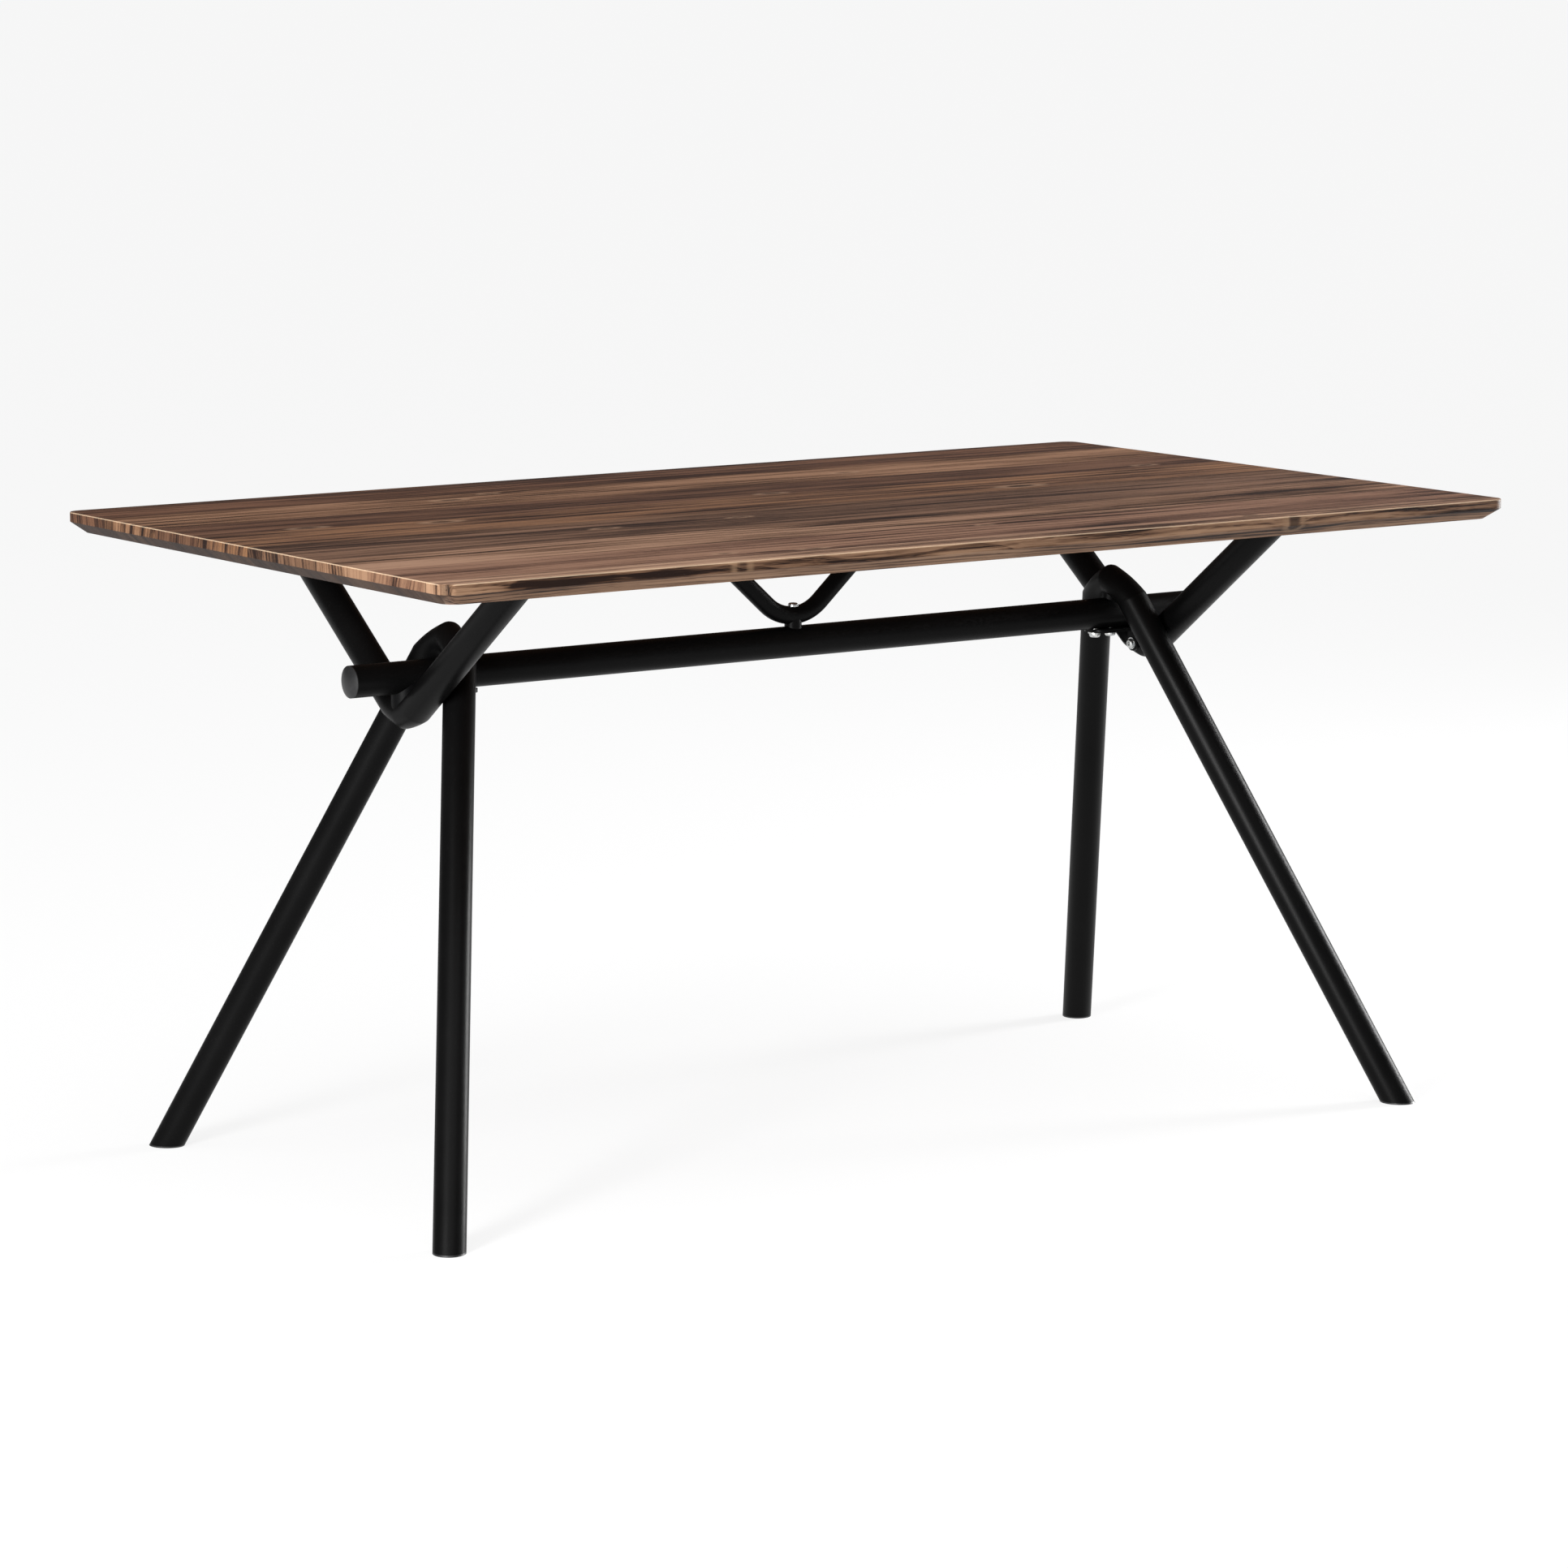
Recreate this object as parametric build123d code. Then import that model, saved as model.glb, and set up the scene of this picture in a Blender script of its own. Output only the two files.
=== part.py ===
"""Butcher block dining table on a bolted frame of bent round steel tube.

Millimetres, +Z up.  The origin lies on the floor under the middle of the table, +X runs
along the length and +Y along the width.  Every separate piece is one STEP file in parts/,
and identical fasteners share one file.
"""
import os
from math import atan, hypot, radians, sin, tan

from build123d import *

# ---------------------------------------------------------------- driving dimensions
# table top
table_height = 762.0
table_length = 1510.0
table_width = 874.0
top_thickness = 24.0
edge_band = 11.5              # square edge above the under-bevel
bevel_inset = 14.0            # how far the under-bevel runs in
corner_radius = 18.0          # plan radius of the top's corners
bevel_corner_radius = 20.0    # plan radius of the bevel's lower corners
arris_radius = 1.2
stave_widths = [102.0, 124.0, 102.0, 118.0, 34.0, 123.0, 111.0, 119.0, 41.0]  # back to front

# main tubes
tube_d = 38.0
tube_wall = 2.0
stretcher_z = 596.0           # axis height
stretcher_half = 624.0        # half length over the end caps
cap_lip = 1.0                 # straight rim of a cap, against the tube's end
cap_dome = 5.0                # rise of its dome
saddle_gap = 4.0              # pad between the stretcher and each bent tube
leg_pad_r = 11.0
support_pad_r = 18.0

# leg frames: each is one tube bent to an inverted V that leans outward
leg_foot_x = 690.5
leg_foot_y = 328.5
leg_apex_x = 468.3            # where the straight legs' axes would meet
leg_apex_z = 691.0
foot_flange = 2.0             # foot plug's flange, under the tube's cut end
plug_depth = 16.0

# V supports that carry the top: one tube each, in an upright plane across the table
support_x = 543.5
support_apex_z = 544.7
support_half_angle = 53.3     # degrees, arm from the vertical

# centre brace: a lighter bent tube in the upright plane along the stretcher
brace_d = 22.0
brace_wall = 1.8
brace_half_angle = 48.0
brace_bend_radius = 58.0
brace_gap = 2.0               # spacer between the stretcher and the brace
brace_spacer_r = 10.5

# mounting plates under the top
plate_thickness = 4.0
plate_corner_r = 8.0
support_plate = (64.0, 136.0)   # X, Y
support_screw = (23.0, 54.0)    # screw offsets from the plate's middle
brace_plate = (92.0, 40.0)
brace_screw = (34.0, 0.0)

# angle brackets under the stretcher
bracket_thickness = 4.0
bracket_half_width = 20.0
bracket_inboard_x = 452.5
bracket_bolt_x = 461.0
bracket_corner_r = 15.0       # plan corners of the tongue's inboard end
bracket_lug_half_width = 9.0
bracket_lug_drop = 9.5        # below the support bolt
bracket_lug_corner_r = 8.9

# fasteners
m8_r = 4.0
m6_r = 3.0
m8_head = (7.0, 5.0)          # head radius, head height
m6_head = (6.0, 4.0)
brace_bolt_head = (6.0, 2.6)
head_crown = 0.55             # rounding of a head, as a share of its height
socket_width = 0.5            # hex socket's corner radius, as a share of the head's radius
socket_depth = 0.6            # as a share of the head's height
thread_clearance = 0.05       # shank or sleeve inside its bore
bolt_clearance = 0.1          # M8 bolt in a drilled hole
screw_clearance = 0.3         # M6 screw in a drilled hole
washer_clearance = 0.2
washer_thickness = 1.6
m8_washer_r = 8.5
brace_washer_r = 6.5
m6_washer_r = 7.5
insert_r = 5.0
insert_length = 13.0
insert_hole_depth = 16.0
rivet_nut_wall = 1.5
rivet_nut_length = 14.0
nut_clearance = 0.1           # rivet nut in a pad's bore
tip_margin = 1.0              # how far a bolt's tip stays inside its nut or insert

cut_margin = 1.0              # how far a drill runs past the surface it cuts
tube_overrun = 60.0           # how far a bar runs past the level cut at its end

# ---------------------------------------------------------------- worked-out values
tube_r = tube_d / 2
bore_r = tube_r - tube_wall
brace_r = brace_d / 2
m8_through_r = m8_r + bolt_clearance
m8_nut_r = m8_r + rivet_nut_wall
m6_nut_r = m6_r + rivet_nut_wall
nut_clear_r = m8_nut_r + nut_clearance
underside_z = table_height - top_thickness
cap_seat_x = stretcher_half - cap_lip - cap_dome
plate_z = underside_z - plate_thickness
stretcher_top = stretcher_z + tube_r
stretcher_bottom = stretcher_z - tube_r
tongue_bottom = stretcher_bottom - bracket_thickness

lean = (leg_foot_x - leg_apex_x) / leg_apex_z        # outward run per unit of drop
spread = leg_foot_y / leg_apex_z                     # sideways run per unit of drop
leg_crown_z = stretcher_top + saddle_gap + tube_r
leg_crown_x = leg_apex_x + lean * (leg_apex_z - leg_crown_z)
leg_half_angle = atan(spread / hypot(1.0, lean))
leg_crown_drop = (leg_apex_z - leg_crown_z) * hypot(1.0, lean)
leg_bend_radius = leg_crown_drop / (1 / sin(leg_half_angle) - 1)

support_slope = tan(radians(support_half_angle))
support_crown_z = stretcher_bottom - saddle_gap - tube_r
support_crown_rise = support_crown_z - support_apex_z
support_bend_radius = support_crown_rise / (1 / sin(radians(support_half_angle)) - 1)
support_arm_y = (plate_z - support_apex_z) * support_slope
support_inner_x = support_x - tube_r

brace_slope = tan(radians(brace_half_angle))
brace_crown_z = stretcher_top + brace_gap + brace_r
brace_apex_z = brace_crown_z - brace_bend_radius * (1 / sin(radians(brace_half_angle)) - 1)
brace_arm_x = (plate_z - brace_apex_z) * brace_slope

support_plate_places = [(sx * support_x, sy * support_arm_y) for sx in (-1, 1) for sy in (-1, 1)]
brace_plate_places = [(sx * brace_arm_x, 0.0) for sx in (-1, 1)]
plates = [(place, support_screw) for place in support_plate_places]
plates += [(place, brace_screw) for place in brace_plate_places]
screw_places = [
    (place[0] + sx * offset[0], place[1] + sy * offset[1])
    for place, offset in plates
    for sx in (-1, 1)
    for sy in ((-1, 1) if offset[1] else (1,))
]

print("leg bend radius", round(leg_bend_radius, 2))
print("support bend radius", round(support_bend_radius, 2))


# ---------------------------------------------------------------- shared shapes
def slab(z_low, z_high):
    """Everything between two heights."""
    reach = 2 * table_length
    return Pos(0, 0, (z_low + z_high) / 2) * Box(reach, reach, z_high - z_low)


def cylinder(radius, height):
    """Round bar standing on z = 0."""
    return Cylinder(radius, height, align=(Align.CENTER, Align.CENTER, Align.MIN))


def rod(start, end, radius):
    """Solid round bar from start to end."""
    axis = Vector(*end) - Vector(*start)
    return Solid.make_cylinder(radius, axis.length, Plane(origin=start, z_dir=axis))


def bent_bar(start, corner, end, bend_radius, radius):
    """Solid round bar with one tangent bend at the corner."""
    path = FilletPolyline(start, corner, end, radius=bend_radius)
    section = Plane(origin=path @ 0, z_dir=path % 0) * Circle(radius)
    return sweep(section, path=path)


def ring(outer_r, inner_r, height):
    """Washer-like ring standing on z = 0."""
    return cylinder(outer_r, height) - cylinder(inner_r, height)


def screw(shank_r, length, head_r, head_height):
    """Button-head screw with a hex socket: head below z = 0, shank above it."""
    head = Pos(0, 0, -head_height) * cylinder(head_r, head_height)
    head = fillet(head.edges().group_by(Axis.Z)[0], head_height * head_crown)
    socket = extrude(RegularPolygon(head_r * socket_width, 6), head_height * socket_depth)
    return (head - Pos(0, 0, -head_height) * socket) + cylinder(shank_r, length)


def both_ends(shape):
    """The shape and its mirror image at the table's other end."""
    return [shape, mirror(shape, about=Plane.YZ)]


def write(name, shapes):
    """Write one node; a list becomes a group of separate solids."""
    group = shapes if isinstance(shapes, list) else [shapes]
    solids = [solid for shape in group for solid in shape.solids()]
    node = solids[0] if len(solids) == 1 else Compound(children=solids)
    node.label = name
    export_step(node, os.path.join("parts", name + ".step"))


# ---------------------------------------------------------------- table top
def make_top():
    """The whole glued top: square edge, under-bevel and the holes for the inserts."""
    band = extrude(RectangleRounded(table_length, table_width, corner_radius), edge_band)
    band = Pos(0, 0, table_height - edge_band) * band
    band = fillet(band.edges().group_by(Axis.Z)[-1], arris_radius)
    upper_outline = RectangleRounded(table_length, table_width, corner_radius)
    lower_outline = RectangleRounded(
        table_length - 2 * bevel_inset, table_width - 2 * bevel_inset, bevel_corner_radius)
    bevel = loft([Pos(0, 0, underside_z) * lower_outline,
                  Pos(0, 0, table_height - edge_band) * upper_outline], ruled=True)
    top = band + bevel
    for x, y in screw_places:
        top -= Pos(x, y, underside_z) * cylinder(insert_r, insert_hole_depth)
    return top


def make_staves(top):
    """Cut the top into its full-length staves, from the back edge to the front."""
    staves = []
    back = table_width / 2
    for width in stave_widths:
        strip = Box(table_length + 2 * cut_margin, width, top_thickness + 2 * cut_margin)
        staves.append(top & Pos(0, back - width / 2, table_height - top_thickness / 2) * strip)
        back -= width
    return staves


# ---------------------------------------------------------------- frame tubes
def leg_axis_point(side_y, z):
    """Point on the axis of a straight leg of the right-hand frame."""
    drop = leg_apex_z - z
    return (leg_apex_x + lean * drop, side_y * spread * drop, z)


def leg_bar(radius, foot_z):
    """Solid bar along the right-hand leg frame, running on down to foot_z."""
    apex = (leg_apex_x, 0.0, leg_apex_z)
    front, back = leg_axis_point(-1, foot_z), leg_axis_point(1, foot_z)
    return bent_bar(front, apex, back, leg_bend_radius, radius)


def support_bar(radius, end_z):
    """Solid bar along the right-hand V support, running on up to end_z."""
    reach = (end_z - support_apex_z) * support_slope
    return bent_bar((support_x, -reach, end_z), (support_x, 0.0, support_apex_z),
                    (support_x, reach, end_z), support_bend_radius, radius)


def brace_bar(radius, end_z):
    """Solid bar along the centre brace, running on up to end_z."""
    reach = (end_z - brace_apex_z) * brace_slope
    return bent_bar((-reach, 0.0, end_z), (0.0, 0.0, brace_apex_z), (reach, 0.0, end_z),
                    brace_bend_radius, radius)


def make_leg_frame():
    """Right-hand inverted V, cut level at the feet, with its nut hole under the crown."""
    tube = leg_bar(tube_r, -tube_overrun) - leg_bar(bore_r, -2 * tube_overrun)
    tube &= slab(foot_flange, table_height)
    return tube - rod((leg_crown_x, 0, stretcher_top), (leg_crown_x, 0, leg_crown_z), m8_nut_r)


def make_foot_plug(side_y):
    """Plug in one foot of the right-hand frame: flange under the cut end, spigot inside."""
    low = leg_axis_point(side_y, -tube_d)
    high = leg_axis_point(side_y, 2 * tube_d)
    flange = rod(low, high, tube_r) & slab(0.0, foot_flange)
    spigot = rod(low, high, bore_r - thread_clearance) & slab(foot_flange, plug_depth)
    return flange + spigot


def make_support():
    """Right-hand V support, cut level under the plates, with its nut hole facing inward."""
    tube = support_bar(tube_r, plate_z + tube_overrun) - support_bar(bore_r, plate_z + 2 * tube_overrun)
    tube &= slab(stretcher_bottom - 2 * tube_d, plate_z)
    mouth = (support_inner_x - cut_margin, 0, support_crown_z)
    return tube - rod(mouth, (support_x, 0, support_crown_z), m6_nut_r)


def make_brace():
    """Centre brace, cut level under its plates, bored for the brace bolt."""
    bore = brace_bar(brace_r - brace_wall, plate_z + 2 * tube_overrun)
    tube = brace_bar(brace_r, plate_z + tube_overrun) - bore
    tube &= slab(stretcher_top, plate_z)
    return tube - rod((0, 0, stretcher_z), (0, 0, plate_z), m8_through_r)


def make_stretcher():
    """Long tube between the leg frames, bored for the bolts that pass into it."""
    half = cap_seat_x
    outer = rod((-half, 0, stretcher_z), (half, 0, stretcher_z), tube_r)
    tube = outer - rod((-half, 0, stretcher_z), (half, 0, stretcher_z), bore_r)
    below = stretcher_bottom - cut_margin
    above = stretcher_top + cut_margin
    for side in (-1, 1):
        leg_x = side * leg_crown_x
        bolt_x = side * bracket_bolt_x
        tube -= rod((leg_x, 0, below), (leg_x, 0, above), m8_through_r)
        tube -= rod((bolt_x, 0, below), (bolt_x, 0, stretcher_z), m8_nut_r)
    return tube - rod((0, 0, stretcher_z), (0, 0, above), m8_nut_r)


def make_end_cap():
    """Right-hand plug: domed head against the tube's end and a spigot inside it."""
    seat = (cap_seat_x, 0, stretcher_z)
    rim = (cap_seat_x + cap_lip, 0, stretcher_z)
    ball_r = (tube_r ** 2 + cap_dome ** 2) / (2 * cap_dome)
    ball = Pos(stretcher_half - ball_r, 0, stretcher_z) * Rot(0, 90, 0) * Sphere(ball_r)
    dome = ball & rod(rim, (stretcher_half + cut_margin, 0, stretcher_z), tube_r + cut_margin)
    root = (cap_seat_x - plug_depth, 0, stretcher_z)
    return dome + rod(seat, rim, tube_r) + rod(root, seat, bore_r - thread_clearance)


# ---------------------------------------------------------------- plates, brackets and pads
def make_plate(size, screw_offset, place):
    """Flat plate under the top with rounded corners and a hole for each screw."""
    plate = extrude(RectangleRounded(size[0], size[1], plate_corner_r), plate_thickness)
    hole = cylinder(m6_r + screw_clearance, plate_thickness)
    for sx in (-1, 1):
        for sy in (-1, 1):
            plate -= Pos(sx * screw_offset[0], sy * screw_offset[1], 0) * hole
    return Pos(place[0], place[1], plate_z) * plate


def make_bracket():
    """Right-hand angle: tongue under the stretcher, lug down the support's inner face."""
    outer_x = support_inner_x
    tongue_length = outer_x - bracket_thickness - bracket_inboard_x
    tongue = Box(tongue_length, 2 * bracket_half_width, bracket_thickness)
    tongue = fillet(tongue.edges().filter_by(Axis.Z).group_by(Axis.X)[0], bracket_corner_r)
    tongue_place = (bracket_inboard_x + tongue_length / 2, 0, stretcher_bottom - bracket_thickness / 2)
    lug_bottom = support_crown_z - bracket_lug_drop
    lug_height = stretcher_bottom - lug_bottom
    lug = Box(bracket_thickness, 2 * bracket_lug_half_width, lug_height)
    lug = fillet(lug.edges().filter_by(Axis.X).group_by(Axis.Z)[0], bracket_lug_corner_r)
    lug_place = (outer_x - bracket_thickness / 2, 0, lug_bottom + lug_height / 2)
    angle = Pos(*tongue_place) * tongue + Pos(*lug_place) * lug
    outer_corner = angle.edges().filter_by(Axis.Y).group_by(Axis.X)[-1].group_by(Axis.Z)[-1]
    angle = fillet(outer_corner, bracket_thickness)
    for x in (leg_crown_x, bracket_bolt_x):
        angle -= rod((x, 0, tongue_bottom - cut_margin), (x, 0, stretcher_z), m8_through_r)
    hole_start = (bracket_inboard_x, 0, support_crown_z)
    return angle - rod(hole_start, (support_x, 0, support_crown_z), m6_r + screw_clearance)


def make_leg_pad():
    """Saddle pad between the stretcher and the right-hand leg frame's crown."""
    pad = rod((leg_crown_x, 0, stretcher_z), (leg_crown_x, 0, leg_crown_z), leg_pad_r)
    pad -= rod((0, 0, stretcher_z), (stretcher_half, 0, stretcher_z), tube_r)
    pad -= leg_bar(tube_r, stretcher_z)
    return pad - rod((leg_crown_x, 0, stretcher_z), (leg_crown_x, 0, leg_crown_z), nut_clear_r)


def make_support_pad():
    """Saddle pad between the right-hand support's bend and the stretcher above it."""
    pad = rod((support_x, 0, support_crown_z), (support_x, 0, stretcher_z), support_pad_r)
    pad -= rod((0, 0, stretcher_z), (stretcher_half, 0, stretcher_z), tube_r)
    return pad - support_bar(tube_r, underside_z)


def make_brace_spacer():
    """Saddle spacer between the stretcher and the centre brace."""
    spacer = rod((0, 0, stretcher_z), (0, 0, brace_crown_z), brace_spacer_r)
    spacer -= rod((-stretcher_half, 0, stretcher_z), (stretcher_half, 0, stretcher_z), tube_r)
    spacer -= brace_bar(brace_r, underside_z)
    return spacer - rod((0, 0, stretcher_z), (0, 0, brace_crown_z), nut_clear_r)


# ---------------------------------------------------------------- fasteners
up = Rot(0, 0, 0)
down = Rot(180, 0, 0)
outward = Rot(0, 90, 0)


def make_bolt(shank_r, head, length, place, turn):
    """Bolt with its washer's seat at place, its shank pointing along the turned +Z."""
    body = screw(shank_r - thread_clearance, length + washer_thickness, *head)
    return Pos(*place) * turn * Pos(0, 0, -washer_thickness) * body


def make_washer(shank_r, outer_r, place, turn):
    """Washer under a bolt's head, seated at place."""
    body = ring(outer_r, shank_r + washer_clearance, washer_thickness)
    return Pos(*place) * turn * Pos(0, 0, -washer_thickness) * body


def make_rivet_nut(shank_r, place, turn):
    """Threaded sleeve set in a tube wall, its mouth at place."""
    sleeve = ring(shank_r + rivet_nut_wall - thread_clearance, shank_r, rivet_nut_length)
    return Pos(*place) * turn * sleeve


bracket_bolt_seat = (bracket_bolt_x, 0, tongue_bottom)
leg_bolt_seat = (leg_crown_x, 0, tongue_bottom)
support_bolt_seat = (support_inner_x - bracket_thickness, 0, support_crown_z)
brace_bolt_seat = (0, 0, brace_crown_z + brace_r)
bracket_nut_mouth = (bracket_bolt_x, 0, stretcher_bottom)
leg_nut_mouth = (leg_crown_x, 0, stretcher_top + saddle_gap)
support_nut_mouth = (support_inner_x, 0, support_crown_z)
nut_grip = rivet_nut_length - tip_margin
leg_bolt_length = stretcher_top + saddle_gap + nut_grip - tongue_bottom
bracket_bolt_length = bracket_thickness + nut_grip
support_bolt_length = bracket_thickness + nut_grip
brace_bolt_length = brace_d + brace_gap + nut_grip
plate_screw_length = plate_thickness + insert_length - tip_margin


def main():
    """Build every piece and write it."""
    os.makedirs("parts", exist_ok=True)

    for number, stave in enumerate(make_staves(make_top()), start=1):
        write(f"top_stave_{number}", stave)

    write("stretcher", make_stretcher())
    write("brace", make_brace())
    write("brace_spacer", make_brace_spacer())

    handed = {
        "leg_frame": make_leg_frame(),
        "foot_plug_front": make_foot_plug(-1),
        "foot_plug_back": make_foot_plug(1),
        "support": make_support(),
        "end_cap": make_end_cap(),
        "bracket": make_bracket(),
        "leg_pad": make_leg_pad(),
        "support_pad": make_support_pad(),
    }
    for name, shape in handed.items():
        for side, piece in zip(("right", "left"), both_ends(shape)):
            write(f"{name}_{side}", piece)

    plate_names = ["left_front", "left_back", "right_front", "right_back"]
    for name, place in zip(plate_names, support_plate_places):
        write(f"support_plate_{name}", make_plate(support_plate, support_screw, place))
    for name, place in zip(("left", "right"), brace_plate_places):
        write(f"brace_plate_{name}", make_plate(brace_plate, brace_screw, place))

    m8 = (m8_r, m8_head)
    m6 = (m6_r, m6_head)
    write("bracket_bolts", both_ends(make_bolt(*m8, bracket_bolt_length, bracket_bolt_seat, up)))
    write("bracket_washers", both_ends(make_washer(m8_r, m8_washer_r, bracket_bolt_seat, up)))
    write("leg_bolts", both_ends(make_bolt(*m8, leg_bolt_length, leg_bolt_seat, up)))
    write("leg_washers", both_ends(make_washer(m8_r, m8_washer_r, leg_bolt_seat, up)))
    write("support_bolts", both_ends(make_bolt(*m6, support_bolt_length, support_bolt_seat, outward)))
    write("support_washers", both_ends(make_washer(m6_r, m6_washer_r, support_bolt_seat, outward)))
    write("brace_bolt", make_bolt(m8_r, brace_bolt_head, brace_bolt_length, brace_bolt_seat, down))
    brace_washer = make_washer(m8_r, brace_washer_r, brace_bolt_seat, down)
    write("brace_washer", brace_washer - brace_bar(brace_r, underside_z))

    stretcher_nuts = both_ends(make_rivet_nut(m8_r, bracket_nut_mouth, up))
    stretcher_nuts.append(make_rivet_nut(m8_r, (0, 0, stretcher_top), down))
    write("stretcher_rivet_nuts", stretcher_nuts)
    write("leg_rivet_nuts", both_ends(make_rivet_nut(m8_r, leg_nut_mouth, up)))
    write("support_rivet_nuts", both_ends(make_rivet_nut(m6_r, support_nut_mouth, outward)))

    insert = ring(insert_r - thread_clearance, m6_r, insert_length)
    write("plate_screws", [make_bolt(*m6, plate_screw_length, (x, y, plate_z), up) for x, y in screw_places])
    write("threaded_inserts", [Pos(x, y, underside_z) * insert for x, y in screw_places])


main()
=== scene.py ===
"""Visual model of a butcher block table on a bolted frame of bent round steel tube.

Metres, +Z up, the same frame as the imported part.  Wood, coating, zinc and plastic are
procedural finishes.  Staves, tubes, brackets, plates, end caps and bolts are built here in
mesh code; washers, nuts, inserts, foot plugs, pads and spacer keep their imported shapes.
"""

import logging
import math
from collections.abc import Iterable, Sequence
from dataclasses import dataclass
from enum import Enum

import bmesh
import bpy
from mathutils import Matrix, Vector


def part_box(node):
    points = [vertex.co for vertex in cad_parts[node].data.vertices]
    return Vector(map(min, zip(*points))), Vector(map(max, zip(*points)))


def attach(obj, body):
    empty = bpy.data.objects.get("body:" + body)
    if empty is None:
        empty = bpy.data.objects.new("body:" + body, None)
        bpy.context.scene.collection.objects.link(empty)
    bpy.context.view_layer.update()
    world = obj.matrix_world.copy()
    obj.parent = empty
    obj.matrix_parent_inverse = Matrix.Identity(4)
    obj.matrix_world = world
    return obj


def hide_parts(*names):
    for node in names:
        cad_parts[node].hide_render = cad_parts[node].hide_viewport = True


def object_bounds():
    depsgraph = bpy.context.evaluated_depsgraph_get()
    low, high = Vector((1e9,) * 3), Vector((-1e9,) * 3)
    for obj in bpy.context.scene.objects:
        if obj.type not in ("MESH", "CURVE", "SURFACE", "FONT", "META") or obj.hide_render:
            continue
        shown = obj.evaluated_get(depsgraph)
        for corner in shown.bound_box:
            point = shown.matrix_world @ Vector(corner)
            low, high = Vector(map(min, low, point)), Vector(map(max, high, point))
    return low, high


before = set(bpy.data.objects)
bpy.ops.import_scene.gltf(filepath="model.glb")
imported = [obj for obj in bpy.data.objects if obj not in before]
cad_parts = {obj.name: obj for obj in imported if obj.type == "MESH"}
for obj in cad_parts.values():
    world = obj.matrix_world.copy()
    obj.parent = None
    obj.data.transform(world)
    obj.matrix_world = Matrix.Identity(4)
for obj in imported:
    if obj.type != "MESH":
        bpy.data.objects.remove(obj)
CAD_BOX = [list(map(float, corner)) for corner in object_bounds()]

log = logging.getLogger("butcher_block_table")
BODY = "root"


# ------------------------- named options
class Slot(Enum):
    """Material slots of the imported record."""
    WOOD = "butcher_block_wood"
    COAT = "black_powder_coat"
    ZINC = "zinc_plated_steel"
    PLASTIC = "black_plastic"


class Blend(Enum):
    """Ways of mixing one colour over another."""
    MIX = "MIX"
    MULTIPLY = "MULTIPLY"


class End(Enum):
    """The table's two ends, by the sign of X."""
    LEFT = -1
    RIGHT = 1

    @property
    def word(self) -> str:
        """Name used in node names."""
        return self.name.lower()


class Side(Enum):
    """The table's two long sides, by the sign of Y."""
    FRONT = -1
    BACK = 1

    @property
    def word(self) -> str:
        """Name used in node names."""
        return self.name.lower()


# ------------------------- shader graph
def srgb(red: float, green: float, blue: float, gain: float = 1.0) -> tuple[float, float, float, float]:
    """Linear colour from display values.

    Args:
        red: Display red, 0 to 255.
        green: Display green, 0 to 255.
        blue: Display blue, 0 to 255.
        gain: Factor on the linear values.

    Returns:
        Linear red, green, blue and an alpha of one.
    """
    def linear(value: float) -> float:
        """Linear value of one channel."""
        share = value / 255
        return gain * (share / 12.92 if share <= 0.04045 else ((share + 0.055) / 1.055) ** 2.4)
    return (linear(red), linear(green), linear(blue), 1.0)


def grey(level: float) -> tuple[float, float, float, float]:
    """Neutral linear colour."""
    return (level, level, level, 1.0)


@dataclass(frozen=True)
class Wire:
    """An output socket on which shader maths is written as expressions."""
    graph: "Graph"
    socket: bpy.types.NodeSocket

    def __add__(self, other: "Wire | float") -> "Wire":
        """Sum."""
        return self.graph.math("ADD", self, other)

    def __sub__(self, other: "Wire | float") -> "Wire":
        """Difference."""
        return self.graph.math("SUBTRACT", self, other)

    def __rsub__(self, other: float) -> "Wire":
        """Difference with the number first."""
        return self.graph.math("SUBTRACT", other, self)

    def __mul__(self, other: "Wire | float") -> "Wire":
        """Product."""
        return self.graph.math("MULTIPLY", self, other)

    def __truediv__(self, other: "Wire | float") -> "Wire":
        """Quotient."""
        return self.graph.math("DIVIDE", self, other)

    def __rtruediv__(self, other: float) -> "Wire":
        """Quotient with the number first."""
        return self.graph.math("DIVIDE", other, self)

    def __pow__(self, other: float) -> "Wire":
        """Power."""
        return self.graph.math("POWER", self, other)

    def __abs__(self) -> "Wire":
        """Absolute value."""
        return self.graph.math("ABSOLUTE", self)

    __radd__ = __add__
    __rmul__ = __mul__


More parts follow.
